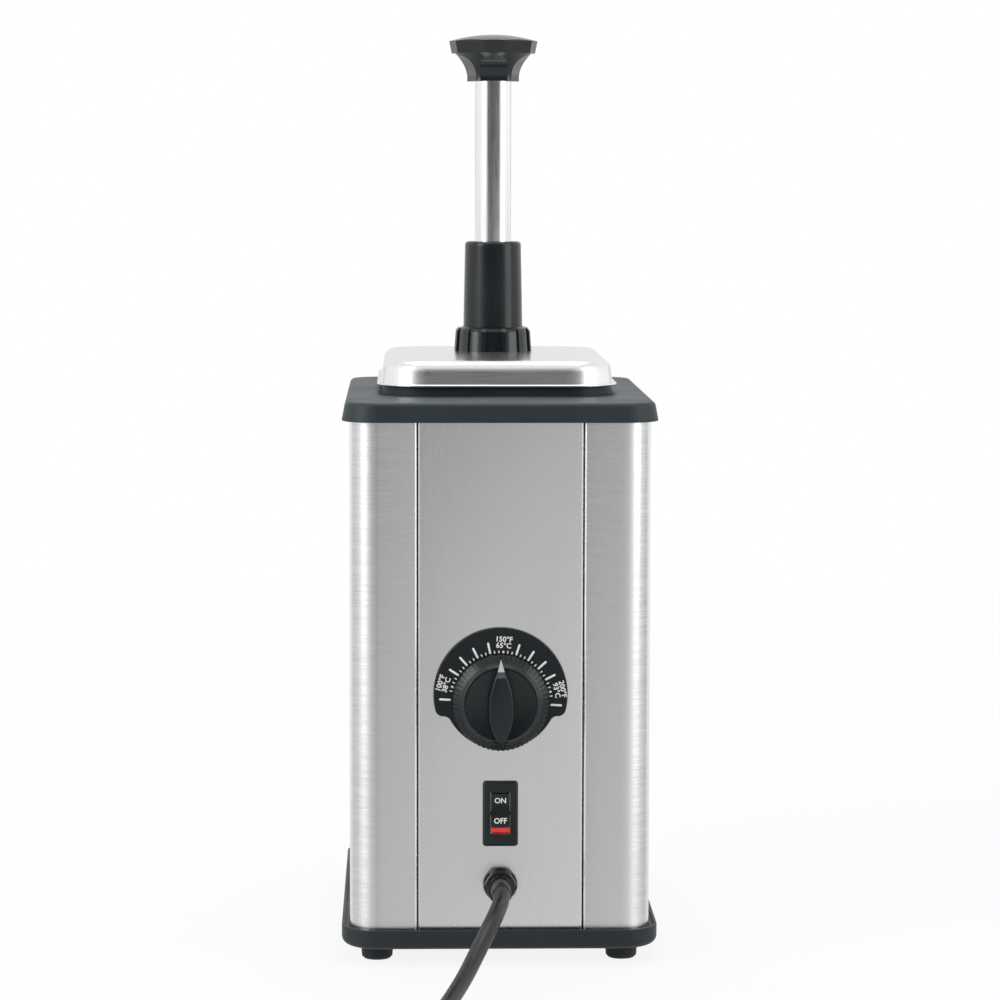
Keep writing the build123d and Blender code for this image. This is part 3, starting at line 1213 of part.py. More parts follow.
def push_knob():
    """Domed knob with a faceted rim and five scooped faces under it."""
    rim_low = KNOB_LOW + KNOB_FLARE_HEIGHT
    rim_top = rim_low + KNOB_RIM_HEIGHT
    step = 360 / KNOB_LOBES
    corners = []
    for i in range(KNOB_LOBES):
        for turn in (-KNOB_NARROW_FACET / 2, KNOB_NARROW_FACET / 2):
            a = math.radians(-90 + i * step + turn)
            corners.append((KNOB_RIM_RADIUS * math.cos(a), KNOB_RIM_RADIUS * math.sin(a)))
    outline = make_face(Polyline(*corners, close=True))
    rim = Pos(0, 0, rim_top) * extrude(outline, -KNOB_RIM_HEIGHT, taper=KNOB_RIM_TAPER)
    rim += Pos(0, 0, rim_top) * extrude(outline, KNOB_DOME)
    ball_radius = (KNOB_RIM_RADIUS**2 + KNOB_DOME**2) / (2 * KNOB_DOME)
    rim &= Pos(0, 0, rim_top + KNOB_DOME - ball_radius) * Sphere(ball_radius)
    wide = KNOB_RIM_RADIUS - KNOB_RIM_HEIGHT * math.tan(math.radians(KNOB_RIM_TAPER)) - 1.9
    flare = make_face(
        [
            Polyline((0, 0, rim_low), (0, 0, KNOB_LOW), (KNOB_NECK_RADIUS, 0, KNOB_LOW)),
            ThreePointArc(
                (KNOB_NECK_RADIUS, 0, KNOB_LOW),
                (KNOB_NECK_RADIUS + 0.22 * (wide - KNOB_NECK_RADIUS), 0, KNOB_LOW + 0.55 * KNOB_FLARE_HEIGHT),
                (wide, 0, rim_low),
            ),
            Line((wide, 0, rim_low), (0, 0, rim_low)),
        ]
    )
    neck = revolve(flare, Axis.Z)
    arch = Pos(0, -KNOB_SCOOP_DEPTH - KNOB_SCOOP_RADIUS, KNOB_LOW + 2) * Rot(0, 90, 0)
    scoop = arch * Cylinder(KNOB_SCOOP_RADIUS, 60)
    below = Pos(0, -KNOB_SCOOP_DEPTH, KNOB_LOW - 30)
    below *= Box(60, 60, 32, align=(Align.CENTER, Align.MAX, Align.MIN))
    roof = Pos(0, 0, rim_low - 0.8) * Box(90, 90, 30, align=(Align.CENTER, Align.CENTER, Align.MIN))
    cutter = scoop + below - roof
    for i in range(KNOB_LOBES):
        neck -= Rot(0, 0, i * step) * cutter
    knob = Pos(0, PUMP_Y, 0) * (rim + neck)
    return knob - disc(TUBE_RADIUS + FIT, KNOB_LOW, KNOB_LOW + KNOB_SOCKET, 0, PUMP_Y)


def inlet_ball():
    return Pos(0, PUMP_Y, ball_centre()) * Sphere(BALL_RADIUS)


def group(solids):
    """Identical pieces that share one node, still separate solids."""
    return Compound(children=list(solids))


def main():
    nodes = {
        "base_tray": base_tray(),
        "rubber_feet": group(rubber_foot(*p) for p in FEET),
        "foot_screws": group(foot_screw(*p) for p in FEET),
        "tie_rods": group(tie_rod(*p) for p in RODS),
        "tie_rod_nuts": group(tie_rod_nut(*p) for p in RODS),
        "housing_wrap": housing_wrap(),
        "rear_panel": rear_panel(),
        "top_cover": top_cover(),
        "heated_well": heated_well(),
        "well_gasket": well_gasket(),
        "insulation_jacket": insulation_jacket(),
        "heating_element": heating_element(),
        "element_clamp_plate": element_clamp_plate(),
        "clamp_nuts": group(clamp_nut(side) for side in (-1, 1)),
        "high_limit_thermostat": high_limit_thermostat(),
        "capillary_bulb": capillary_bulb(),
        "thermostat_body": thermostat_body(),
        "thermostat_screws": group(thermostat_screw(side) for side in (-1, 1)),
        "thermostat_shaft": thermostat_shaft(),
        "dial_plate": dial_plate(),
        "dial_knob": dial_knob(),
        "dial_pointer": dial_pointer(),
        "switch_housing": switch_housing(),
        "rocker": rocker(),
        "terminal_tabs": terminal_tabs(),
        "strain_relief": strain_relief(),
        "cord_lead": cord_lead(),
        "cord_coil": cord_coil(),
        "plug_body": plug_body(),
        "plug_blades": group(plug_blade(side) for side in (-1, 1)),
        "plug_ground_pin": plug_ground_pin(),
        "jar": jar(),
        "lid": lid(),
        "pump_cylinder": pump_cylinder(),
        "valve_body": valve_body(),
        "ball_pin": ball_pin(),
        "duckbill_valve": duckbill_valve(),
        "discharge_riser": discharge_riser(),
        "spout": spout(),
        "spout_nut": spout_nut(),
        "pump_sleeve": pump_sleeve(),
        "return_spring": return_spring(),
        "locking_collar": locking_collar(),
        "stop_ring": stop_ring(),
        "plunger_tube": plunger_tube(),
        "piston": piston(),
        "piston_seals": group(piston_seal(low) for low in seal_levels()),
        "push_knob": push_knob(),
        "inlet_ball": inlet_ball(),
    }
    os.makedirs("parts", exist_ok=True)
    for name, shape in nodes.items():
        export_step(shape, f"parts/{name}.step")
    print(len(nodes), "nodes written")


main()
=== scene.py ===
"""Hot fudge topping warmer: materials, scale marks, cord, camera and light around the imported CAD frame."""

import math

import bmesh
import bpy
from mathutils import Matrix, Vector
from mathutils.bvhtree import BVHTree


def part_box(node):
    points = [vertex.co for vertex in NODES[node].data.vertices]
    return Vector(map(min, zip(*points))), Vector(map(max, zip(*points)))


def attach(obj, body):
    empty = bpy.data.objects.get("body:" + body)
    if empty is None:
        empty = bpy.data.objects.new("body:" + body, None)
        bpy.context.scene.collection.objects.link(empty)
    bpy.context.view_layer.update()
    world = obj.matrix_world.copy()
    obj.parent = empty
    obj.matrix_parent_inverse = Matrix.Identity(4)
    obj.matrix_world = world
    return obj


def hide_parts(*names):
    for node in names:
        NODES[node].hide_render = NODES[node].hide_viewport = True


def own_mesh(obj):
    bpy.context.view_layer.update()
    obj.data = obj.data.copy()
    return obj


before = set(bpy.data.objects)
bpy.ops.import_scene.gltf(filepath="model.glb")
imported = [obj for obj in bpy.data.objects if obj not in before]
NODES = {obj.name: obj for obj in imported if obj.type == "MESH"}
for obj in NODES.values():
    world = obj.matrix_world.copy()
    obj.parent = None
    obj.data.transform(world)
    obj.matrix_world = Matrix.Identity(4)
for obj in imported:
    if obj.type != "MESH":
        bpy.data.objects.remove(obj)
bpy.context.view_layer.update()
SCENE = bpy.context.scene

# ---------------------------------------------------------------- sizes taken from the CAD model, in metres
PLATE_FACE = -0.1166  # dial plate's outer face, on Y
DIAL_Z = 0.1342
SWITCH_Z = 0.0773
RED_BELOW = 0.0066  # red band on the rocker, below the switch's middle
RED_ARMS_BELOW = 0.0025
RED_ARMS_BEYOND = 0.0058
CORD_RADIUS = 0.0041
RELIEF_END = (0.0, -0.13835, 0.0411)

SHEET = 0.0009
PANEL_FACE = -0.1146
PANEL_HALF = 0.042  # middle to each flange
SEAM_GAP = 0.0004
WRAP_LOW, WRAP_TOP = 0.011, 0.282
JAR_Y = 0.022
JAR_LOW, JAR_TOP = 0.091, 0.299

PRINT_DEPTH = 0.00004
SCALE_TURN = 3.0  # degrees
ON_Z = 0.0840
OFF_Z = 0.0739


# ---------------------------------------------------------------- camera
def add_camera():
    """The photograph's view point, level with the lid and a little to the left."""
    yaw, pitch, roll = -0.027, 0.0919, 0.0017
    forward = Vector((-math.sin(yaw) * math.cos(pitch), math.cos(yaw) * math.cos(pitch), -math.sin(pitch)))
    right = Vector((math.cos(yaw), math.sin(yaw), 0))
    up = right.cross(forward)
    tilted_right = right * math.cos(roll) + up * math.sin(roll)
    tilted_up = up * math.cos(roll) - right * math.sin(roll)
    turn = Matrix((tilted_right, tilted_up, -forward)).transposed().to_4x4()
    data = bpy.data.cameras.new("camera")
    data.lens = 128.2
    data.sensor_width = 36
    camera = bpy.data.objects.new("camera", data)
    camera.matrix_world = Matrix.Translation((-0.0484, -1.8908, 0.400)) @ turn
    SCENE.collection.objects.link(camera)
    SCENE.camera = camera


# ---------------------------------------------------------------- node helpers
def new_material(name, colour, roughness, metallic=0.0):
    material = bpy.data.materials.new(name)
    material.use_nodes = True
    shader = material.node_tree.nodes["Principled BSDF"]
    shader.inputs["Base Color"].default_value = (*colour, 1)
    shader.inputs["Roughness"].default_value = roughness
    shader.inputs["Metallic"].default_value = metallic
    return material, material.node_tree, shader


def object_coordinates(tree, scale, turn=(0, 0, 0)):
    """Rest coordinates of the piece, stretched per axis."""
    coordinates = tree.nodes.new("ShaderNodeTexCoord")
    mapping = tree.nodes.new("ShaderNodeMapping")
    mapping.inputs["Scale"].default_value = scale
    mapping.inputs["Rotation"].default_value = turn
    tree.links.new(coordinates.outputs["Object"], mapping.inputs["Vector"])
    return mapping.outputs["Vector"]


def noise(tree, scale, detail=2.0, roughness=0.5, turn=(0, 0, 0)):
    node = tree.nodes.new("ShaderNodeTexNoise")
    node.inputs["Scale"].default_value = 1.0
    node.inputs["Detail"].default_value = detail
    node.inputs["Roughness"].default_value = roughness
    tree.links.new(object_coordinates(tree, scale, turn), node.inputs["Vector"])
    return node.outputs["Fac"]


def ramp(tree, value, low, high, start=0.3, end=0.7):
    """Maps a noise value to a range of numbers."""
    node = tree.nodes.new("ShaderNodeMapRange")
    node.inputs["From Min"].default_value = start
    node.inputs["From Max"].default_value = end
    node.inputs["To Min"].default_value = low
    node.inputs["To Max"].default_value = high
    tree.links.new(value, node.inputs["Value"])
    return node.outputs["Result"]


def mix_colours(tree, factor, first, second, blend="MIX"):
    node = tree.nodes.new("ShaderNodeMix")
    node.data_type = "RGBA"
    node.blend_type = blend
    sockets = {s.name: s for s in node.inputs if s.type == "RGBA"}
    for socket, colour in ((sockets["A"], first), (sockets["B"], second)):
        if hasattr(colour, "is_output"):
            tree.links.new(colour, socket)
        else:
            socket.default_value = (*colour, 1)
    if hasattr(factor, "is_output"):
        tree.links.new(factor, node.inputs["Factor"])
    else:
        node.inputs["Factor"].default_value = factor
    return next(s for s in node.outputs if s.type == "RGBA")


def math_node(tree, operation, first, second=None):
    node = tree.nodes.new("ShaderNodeMath")
    node.operation = operation
    for socket, value in zip(node.inputs, (first, second)):
        if value is None:
            continue
        if hasattr(value, "is_output"):
            tree.links.new(value, socket)
        else:
            socket.default_value = value
    return node.outputs["Value"]


def add_bump(tree, shader, height, strength, distance):
    bump = tree.nodes.new("ShaderNodeBump")
    bump.inputs["Strength"].default_value = strength
    bump.inputs["Distance"].default_value = distance
    tree.links.new(height, bump.inputs["Height"])
    tree.links.new(bump.outputs["Normal"], shader.inputs["Normal"])


# ---------------------------------------------------------------- materials
def brushed_steel(name, colour, roughness, across, along=95.0, depth=0.03, contrast=0.07, anisotropic=0.0, turn=0.0):
    """Stainless sheet with fine grain. across holds the axes that the grain crosses."""
    material, tree, shader = new_material(name, colour, roughness, 1.0)
    fine = [1500.0 if axis in across else along for axis in "XYZ"]
    broad = [340.0 if axis in across else along / 4 for axis in "XYZ"]
    grain = noise(tree, fine, 2.0, 0.6)
    bands = noise(tree, broad, 2.0, 0.5)
    cloud = noise(tree, (7.0, 7.0, 7.0), 2.0, 0.5)
    both = math_node(tree, "ADD", math_node(tree, "MULTIPLY", grain, 0.72), math_node(tree, "MULTIPLY", bands, 0.28))
    dark = tuple(c * (1 - contrast) for c in colour)
    light = tuple(min(1.0, c * (1 + contrast)) for c in colour)
    streaked = mix_colours(tree, ramp(tree, both, 0.0, 1.0, 0.34, 0.66), dark, light)
    shaded = mix_colours(tree, ramp(tree, cloud, 0.0, 0.14), streaked, tuple(c * 0.88 for c in colour))
    tree.links.new(shaded, shader.inputs["Base Color"])
    tree.links.new(ramp(tree, both, roughness - 0.03, roughness + 0.05, 0.34, 0.66), shader.inputs["Roughness"])
    shader.inputs["Anisotropic"].default_value = anisotropic
    shader.inputs["Anisotropic Rotation"].default_value = turn
    add_bump(tree, shader, both, depth, 0.0001)
    return material


def moulded_plastic(name, colour, roughness, grain=900.0, depth=0.06, specular=0.35, spread=0.05):
    """Moulded plastic: fine spark texture and a slightly uneven gloss."""
    material, tree, shader = new_material(name, colour, roughness)
    fine = noise(tree, (grain, grain, grain), 3.0, 0.6)
    cloud = noise(tree, (34.0, 34.0, 34.0), 3.0, 0.55)
    pale = tuple(min(1.0, c * 1.30 + 0.003) for c in colour)
    shade = mix_colours(tree, ramp(tree, cloud, 0.0, 0.55), colour, pale)
    tree.links.new(shade, shader.inputs["Base Color"])
    tree.links.new(ramp(tree, cloud, roughness - spread, roughness + spread), shader.inputs["Roughness"])
    shader.inputs["Specular IOR Level"].default_value = specular
    add_bump(tree, shader, fine, depth, 0.0002)
    return material


def rubber(name, colour, roughness=0.55, grain=1400.0):
    material, tree, shader = new_material(name, colour, roughness)
    fine = noise(tree, (grain, grain, grain), 4.0, 0.6)
    dust = noise(tree, (60.0, 60.0, 60.0), 3.0, 0.6)
    shade = mix_colours(tree, ramp(tree, dust, 0.0, 0.5, 0.45, 0.75), colour, tuple(c * 1.5 + 0.004 for c in colour))
    tree.links.new(shade, shader.inputs["Base Color"])
    shader.inputs["Specular IOR Level"].default_value = 0.4
    tree.links.new(ramp(tree, dust, roughness - 0.06, roughness + 0.08), shader.inputs["Roughness"])
    add_bump(tree, shader, fine, 0.15, 0.0002)
    return material


def felt(name, colour):
    """Felted insulation: matted fibres in two scales."""
    material, tree, shader = new_material(name, colour, 0.95)
    fibres = noise(tree, (500.0, 500.0, 900.0), 6.0, 0.7)
    tufts = noise(tree, (80.0, 80.0, 80.0), 4.0, 0.6)
    both = math_node(tree, "ADD", math_node(tree, "MULTIPLY", fibres, 0.6), math_node(tree, "MULTIPLY", tufts, 0.4))
    shade = mix_colours(tree, ramp(tree, both, 0.0, 1.0), tuple(c * 0.72 for c in colour), colour)
    tree.links.new(shade, shader.inputs["Base Color"])
    shader.inputs["Sheen Weight"].default_value = 0.3
    add_bump(tree, shader, both, 0.8, 0.001)
    return material


def plated_metal(name, colour, roughness, contrast=0.08):
    """Drawn or plated small parts: even grain with slight spots."""
    material, tree, shader = new_material(name, colour, roughness, 1.0)
    spots = noise(tree, (300.0, 300.0, 300.0), 4.0, 0.6)
    shade = mix_colours(tree, ramp(tree, spots, 0.0, 1.0), tuple(c * (1 - contrast) for c in colour), colour)
    tree.links.new(shade, shader.inputs["Base Color"])
    tree.links.new(ramp(tree, spots, roughness - 0.05, roughness + 0.08), shader.inputs["Roughness"])
    add_bump(tree, shader, spots, 0.06, 0.0002)
    return material


def printed_mark(name, colour):
    """Pad-printed ink with a slightly uneven film."""
    material, tree, shader = new_material(name, colour, 0.5)
    film = noise(tree, (700.0, 700.0, 700.0), 3.0, 0.6)
    shade = mix_colours(tree, ramp(tree, film, 0.0, 1.0), tuple(c * 0.9 for c in colour), colour)
    tree.links.new(shade, shader.inputs["Base Color"])
    add_bump(tree, shader, film, 0.1, 0.0001)
    return material


def paint_node(node, material):
    """Gives a CAD node one material."""
    mesh = NODES[node].data
    mesh.materials.clear()
    mesh.materials.append(material)
    for polygon in mesh.polygons:
        polygon.material_index = 0


def paint_nodes():
    wrap = brushed_steel("steel_wrap", (0.83, 0.83, 0.84), 0.24, "Z", contrast=0.06, anisotropic=0.75, turn=0.25)
    panel = brushed_steel("steel_panel", (0.84, 0.84, 0.84), 0.25, "X", along=60.0, contrast=0.02, anisotropic=0.5)
    lid = brushed_steel("steel_lid", (0.84, 0.84, 0.84), 0.20, "YZ", along=50.0, contrast=0.04)
    tube = brushed_steel("steel_tube", (0.86, 0.86, 0.86), 0.12, "XY", along=60.0, contrast=0.04)
    jar = brushed_steel("steel_jar", (0.74, 0.74, 0.73), 0.26, "Z", along=40.0, contrast=0.06)
    hardware = plated_metal("zinc_hardware", (0.62, 0.62, 0.60), 0.32)
    brass = plated_metal("contact_brass", (0.80, 0.64, 0.36), 0.28)
    copper = plated_metal("drawn_copper", (0.72, 0.42, 0.28), 0.30)
    sheath = plated_metal("heat_tinted_sheath", (0.36, 0.32, 0.28), 0.42, 0.2)
    natural = moulded_plastic("natural_plastic", (0.78, 0.78, 0.74), 0.35, depth=0.03)
    phenolic = moulded_plastic("phenolic", (0.10, 0.085, 0.075), 0.5)
    silicone = rubber("silicone", (0.66, 0.62, 0.56), 0.5)
    ink = (0.0060, 0.0095, 0.0112)
    by_material = [
        (wrap, ["housing_wrap"]),
        (panel, ["rear_panel"]),
        (lid, ["lid"]),
        (tube, ["plunger_tube", "discharge_riser", "spout", "spout_nut", "stop_ring"]),
        (jar, ["jar", "heated_well", "element_clamp_plate"]),
        (moulded_plastic("cover_plastic", (0.0165, 0.0250, 0.0310), 0.46, 1200.0, 0.08, 0.32), ["top_cover"]),
        (moulded_plastic("base_plastic", (0.017, 0.023, 0.026), 0.48, 1200.0, 0.08, 0.30), ["base_tray"]),
        (moulded_plastic("sleeve_plastic", ink, 0.22, 1400.0, 0.03, 0.40), ["pump_sleeve"]),
        (moulded_plastic("collar_plastic", ink, 0.16, 900.0, 0.015, 0.5), ["locking_collar"]),
        (moulded_plastic("knob_plastic", ink, 0.18, 900.0, 0.015, 0.5), ["push_knob"]),
        (moulded_plastic("plate_plastic", ink, 0.42, 1200.0, 0.05, 0.30), ["dial_plate"]),
        (moulded_plastic("dial_plastic", (0.0060, 0.0100, 0.0118), 0.24, 1400.0, 0.04, 0.42), ["dial_knob"]),
        (moulded_plastic("switch_plastic", (0.0090, 0.0140, 0.0160), 0.36, 1400.0, 0.04, 0.35), ["switch_housing"]),
        (moulded_plastic("relief_plastic", (0.006, 0.0075, 0.0085), 0.22, 900.0, 0.02, 0.5), ["strain_relief"]),
        (rubber("foot_rubber", (0.013, 0.017, 0.019), 0.6), ["rubber_feet"]),
        (rubber("plug_rubber", (0.011, 0.012, 0.013), 0.42), ["plug_body"]),
        (silicone, ["well_gasket", "duckbill_valve", "piston_seals"]),
        (natural, ["pump_cylinder", "valve_body", "piston"]),
        (hardware, ["foot_screws", "tie_rods", "tie_rod_nuts", "clamp_nuts", "thermostat_screws"]),
        (hardware, ["ball_pin", "thermostat_shaft", "return_spring", "inlet_ball"]),
        (felt("insulation_felt", (0.80, 0.74, 0.60)), ["insulation_jacket"]),
        (sheath, ["heating_element"]),
        (phenolic, ["thermostat_body", "high_limit_thermostat"]),
        (copper, ["capillary_bulb"]),
        (brass, ["terminal_tabs", "plug_blades", "plug_ground_pin"]),
        # The pointer wedge on the finger bar's nose, coloured mid grey.
        (printed_mark("pointer_grey", (0.50, 0.51, 0.51)), ["dial_pointer"]),
        (rocker_material(), ["rocker"]),
    ]
    for material, nodes in by_material:
        for node in nodes:
            paint_node(node, material)
    by_node = {node: material for material, nodes in by_material for node in nodes}
    add_housing(wrap, panel)
    add_jar(jar, by_node["top_cover"])
    add_dial_knob(by_node["dial_knob"])
    add_strain_relief(by_node["strain_relief"])
    add_lid_lip(lid)
    add_cord_tie(rubber("tie_rubber", (0.020, 0.022, 0.023), 0.6))
    add_return_spring(by_node["return_spring"])


def rocker_material():
    """Black rocker whose lower, raised end carries a red band that turns up at its sides."""
    material, tree, shader = new_material("rocker_plastic", (0.010, 0.013, 0.014), 0.26)
    coordinates = tree.nodes.new("ShaderNodeTexCoord")
    split = tree.nodes.new("ShaderNodeSeparateXYZ")
    tree.links.new(coordinates.outputs["Object"], split.inputs["Vector"])
    below = math_node(tree, "LESS_THAN", split.outputs["Z"], SWITCH_Z - RED_BELOW)
    lower = math_node(tree, "LESS_THAN", split.outputs["Z"], SWITCH_Z - RED_ARMS_BELOW)
    beside = math_node(tree, "GREATER_THAN", math_node(tree, "ABSOLUTE", split.outputs["X"]), RED_ARMS_BEYOND)
    band = math_node(tree, "MAXIMUM", below, math_node(tree, "MULTIPLY", lower, beside))
    film = noise(tree, (600.0, 600.0, 600.0), 3.0, 0.6)
    red = mix_colours(tree, ramp(tree, film, 0.0, 1.0), (0.68, 0.030, 0.026), (0.80, 0.050, 0.042))
    black = mix_colours(tree, ramp(tree, film, 0.0, 1.0), (0.008, 0.010, 0.011), (0.012, 0.015, 0.017))
    tree.links.new(mix_colours(tree, band, black, red), shader.inputs["Base Color"])
    tree.links.new(ramp(tree, film, 0.20, 0.32), shader.inputs["Roughness"])
    shader.inputs["Specular IOR Level"].default_value = 0.4
    add_bump(tree, shader, film, 0.03, 0.0002)
    return material


# ---------------------------------------------------------------- cord
LEAD_ROUTE = [
    (0.0, -0.13835, 0.0411),
    (0.0, -0.1535, 0.0411),
    (-0.0035, -0.177, 0.0389),
    (-0.0127, -0.1967, 0.0251),
    (-0.0210, -0.2202, 0.0143),
    (-0.0350, -0.261, 0.00415),
    (-0.0455, -0.290, 0.00415),
]
COIL_START = Vector((-0.049, -0.3202, 0.00415))
COIL_PITCH = 0.0087
COIL_RADIUS = 0.057
COIL_TAIL = 0.030
TIE_X = 0.01235
TIE_CORNERS = [
    (-0.35950, 0.00415, -90, 0), (-0.35950, 0.01285, 0, 90), (-0.37710, 0.01285, 90, 180), (-0.37710, 0.00415, 180, 270),
]
POINTS_PER_HALF_TURN = 8


def half_turn_points(start, radius, side, rise=0.0, share=1.0):
    """Control points of a half circle, or the first share of one, anticlockwise from above."""
    count = int(POINTS_PER_HALF_TURN * share)
    step = math.pi / POINTS_PER_HALF_TURN
    reach = radius / math.cos(step / 2)
    centre = start - Vector((side * radius, 0, 0))
    points = []
    for k in range(count):
        angle = (k + 0.5) * step
        lift = rise * (1 - math.cos(angle)) / 2
        points.append(centre + Vector((side * reach * math.cos(angle), side * reach * math.sin(angle), lift)))
    end = centre + Vector((-side * radius, 0, rise))
    return points, end, centre


def coil_points():
    """Spirals in over five half turns, climbs one layer in the sixth, and spirals out above."""
    points, place, side, radius = [], COIL_START.copy(), -1, COIL_RADIUS
    for half in range(10):
        rise = COIL_PITCH if half == 5 else 0.0
        found, place, _ = half_turn_points(place, radius, side, rise)
        points += found
        side = -side
        radius += -COIL_PITCH / 2 if half < 5 else COIL_PITCH / 2
    found, _, centre = half_turn_points(place, radius, side, share=0.5)
    points += found
    points.append(centre + Vector((COIL_TAIL, side * radius, 0)))
    return points


def add_cord():
    route = [Vector(p) for p in LEAD_ROUTE] + coil_points()
    curve = bpy.data.curves.new("mains_cord", "CURVE")
    curve.dimensions = "3D"
    curve.bevel_depth = CORD_RADIUS
    curve.bevel_resolution = 6
    curve.resolution_u = 6
    curve.use_fill_caps = True
    spline = curve.splines.new("NURBS")
    spline.points.add(len(route) - 1)
    for point, place in zip(spline.points, route):
        point.co = (*place, 1)
    spline.order_u = 3
    spline.use_endpoint_u = True
    cord = bpy.data.objects.new("mains_cord", curve)
    SCENE.collection.objects.link(cord)
    on_cord = [NODES["plug_body"], NODES["plug_blades"], NODES["plug_ground_pin"]]
    for piece in [cord] + on_cord:
        piece.visible_glossy = False  # the stowed coil, outside the picture, leaves no dark patch on the panel
    curve.materials.append(rubber("cord_rubber", (0.010, 0.0115, 0.0125), 0.30, 1800.0))
    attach(cord, "root")
    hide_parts("cord_lead", "cord_coil")


# ---------------------------------------------------------------- pieces that replace plainer CAD nodes
def finish_piece(name, verts, faces, material, body, slot, *nodes, sharp=32.0):
    """A smooth-shaded piece that rides on a body and stands for CAD nodes."""
    mesh = bpy.data.meshes.new(name)
    mesh.from_pydata(verts, [], faces)
    mesh.validate()
    solid = bmesh.new()
    solid.from_mesh(mesh)
    bmesh.ops.remove_doubles(solid, verts=solid.verts, dist=1e-6)
    bmesh.ops.recalc_face_normals(solid, faces=solid.faces)
    solid.to_mesh(mesh)
    solid.free()
    for polygon in mesh.polygons:
        polygon.use_smooth = True
    mesh.set_sharp_from_angle(angle=math.radians(sharp))
    mesh.materials.append(material)
    piece = bpy.data.objects.new(name, mesh)
    SCENE.collection.objects.link(piece)
    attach(piece, body)
    if nodes:
        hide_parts(*nodes)
    return piece


def bridge(rings, closed=True, cap=True):
    """Faces between rings of equal length, stored one after the other."""
    count = len(rings[0])
    verts = [point for ring in rings for point in ring]
    faces = []
    for row in range(len(rings) - 1):
        for i in range(count if closed else count - 1):
            j = (i + 1) % count
            a = row * count
            faces.append((a + i, a + j, a + count + j, a + count + i))
    if cap:
        faces.append(tuple(range(count))[::-1])
        faces.append(tuple(range(len(verts) - count, len(verts))))
    return verts, faces


def arc(centre, radius, start, end, steps):
    """Points with their outward directions along an arc, in degrees."""
    found = []
    for k in range(steps + 1):
        angle = math.radians(start + (end - start) * k / steps)
        out = (math.cos(angle), math.sin(angle))
        found.append((centre[0] + radius * out[0], centre[1] + radius * out[1], *out))
    return found


def folded_sheet(path, low, high):
    """Upright sheet along a plan path of points with outward directions, folded at their arcs."""
    rings = []
    for x, y, out_x, out_y in path:
        inner = (x - SHEET * out_x, y - SHEET * out_y)
        rings.append([(x, y, low), (x, y, high), (*inner, high), (*inner, low)])
    return bridge(rings)


def housing_path():
    """Round the front and sides from one flange's folded edge to the other's."""
    half, depth, corner = 0.0762, 0.1155, 0.0155
    edge, bend, back = PANEL_HALF, 0.0015, 0.006
    right = [(edge, back - depth, -1, 0)]
    right += arc((edge + bend, bend - depth), bend, 180, 270, 6)
    right += arc((half - corner, corner - depth), corner, 270, 360, 18)
    right += arc((half - corner, depth - corner), corner, 0, 90, 18)
    left = [(-x, y, -out_x, out_y) for x, y, out_x, out_y in reversed(right)]
    return right + left


def panel_path():
    half, face, bend, back = PANEL_HALF - SEAM_GAP, PANEL_FACE, 0.0012, 0.009
    right = [(half, face + back, 1, 0)] + arc((half - bend, face + bend), bend, 360, 270, 6)
    return right + [(-x, y, -out_x, out_y) for x, y, out_x, out_y in reversed(right)]


def add_cord_tie(rubber_band):
    """Flat tie round the coil's strands, at the side away from the warmer."""
    middle, width = TIE_X, 0.007
    outlines = []
    for wrap in (CORD_RADIUS + 0.00004, CORD_RADIUS + 0.0009):
        outline = []
        for y, z, start, end in TIE_CORNERS:
            outline += [(py, max(z_low, pz)) for py, pz, _, _ in arc((y, z), wrap, start, end, 8) for z_low in (0.00001,)]
        outlines.append(outline)
    inner, outer = outlines
    rings = []
    for (y0, z0), (y1, z1) in zip(inner, outer):
        rings.append([(middle - width / 2, y0, z0), (middle + width / 2, y0, z0), (middle + width / 2, y1, z1), (middle - width / 2, y1, z1)])
    verts, faces = bridge(rings + [rings[0]], cap=False)
    return finish_piece("cord_tie", verts, faces, rubber_band, "root", "cord_rubber")


def cut_holes(piece, cutters):
    """Takes cutter meshes out of a piece and applies the result."""
    for verts, faces in cutters:
        mesh = bpy.data.meshes.new("cutter")
        mesh.from_pydata(verts, [], faces)
        tool = bpy.data.objects.new("cutter", mesh)
        SCENE.collection.objects.link(tool)
        modifier = piece.modifiers.new("cut", "BOOLEAN")
        modifier.operation = "DIFFERENCE"
        modifier.solver = "EXACT"
        modifier.object = tool
        bpy.context.view_layer.update()
        result = bpy.data.meshes.new_from_object(piece.evaluated_get(bpy.context.evaluated_depsgraph_get()))
        piece.modifiers.clear()
        bpy.data.objects.remove(tool)
        piece.data = result
    for polygon in piece.data.polygons:
        polygon.use_smooth = True
    piece.data.set_sharp_from_angle(angle=math.radians(32))


def rear_outline(points, low, high):
    """Prism through the panel from an outline given as x and height."""
    return bridge([[(x, PANEL_FACE + depth, z) for x, z in points] for depth in (low, high)])


def circle_points(radius, x, z, count=32):
    return [
        (x + radius * math.cos(math.tau * k / count), z + radius * math.sin(math.tau * k / count)) for k in range(count)
    ]


def add_housing(wrap, panel):
    """Housing sheet and control panel, each with folded edges beside the seams."""
    finish_piece("housing_sheet", *folded_sheet(housing_path(), WRAP_LOW, WRAP_TOP), wrap, "root", "stainless_wrap", "housing_wrap")
    piece = finish_piece(
        "control_panel", *folded_sheet(panel_path(), WRAP_LOW, WRAP_TOP), panel, "root", "stainless_panel", "rear_panel"
    )
    half, rise = 0.00685, 0.01425
    switch = [(-half, SWITCH_Z - rise), (half, SWITCH_Z - rise), (half, SWITCH_Z + rise), (-half, SWITCH_Z + rise)]
    outlines = [
        circle_points(0.005, 0, DIAL_Z),
        circle_points(0.00195, -0.014, DIAL_Z),
        circle_points(0.00195, 0.014, DIAL_Z),
        switch,
        circle_points(0.00665, 0, RELIEF_END[2]),
    ]
    cut_holes(piece, [rear_outline(points, -0.002, 0.003) for points in outlines])


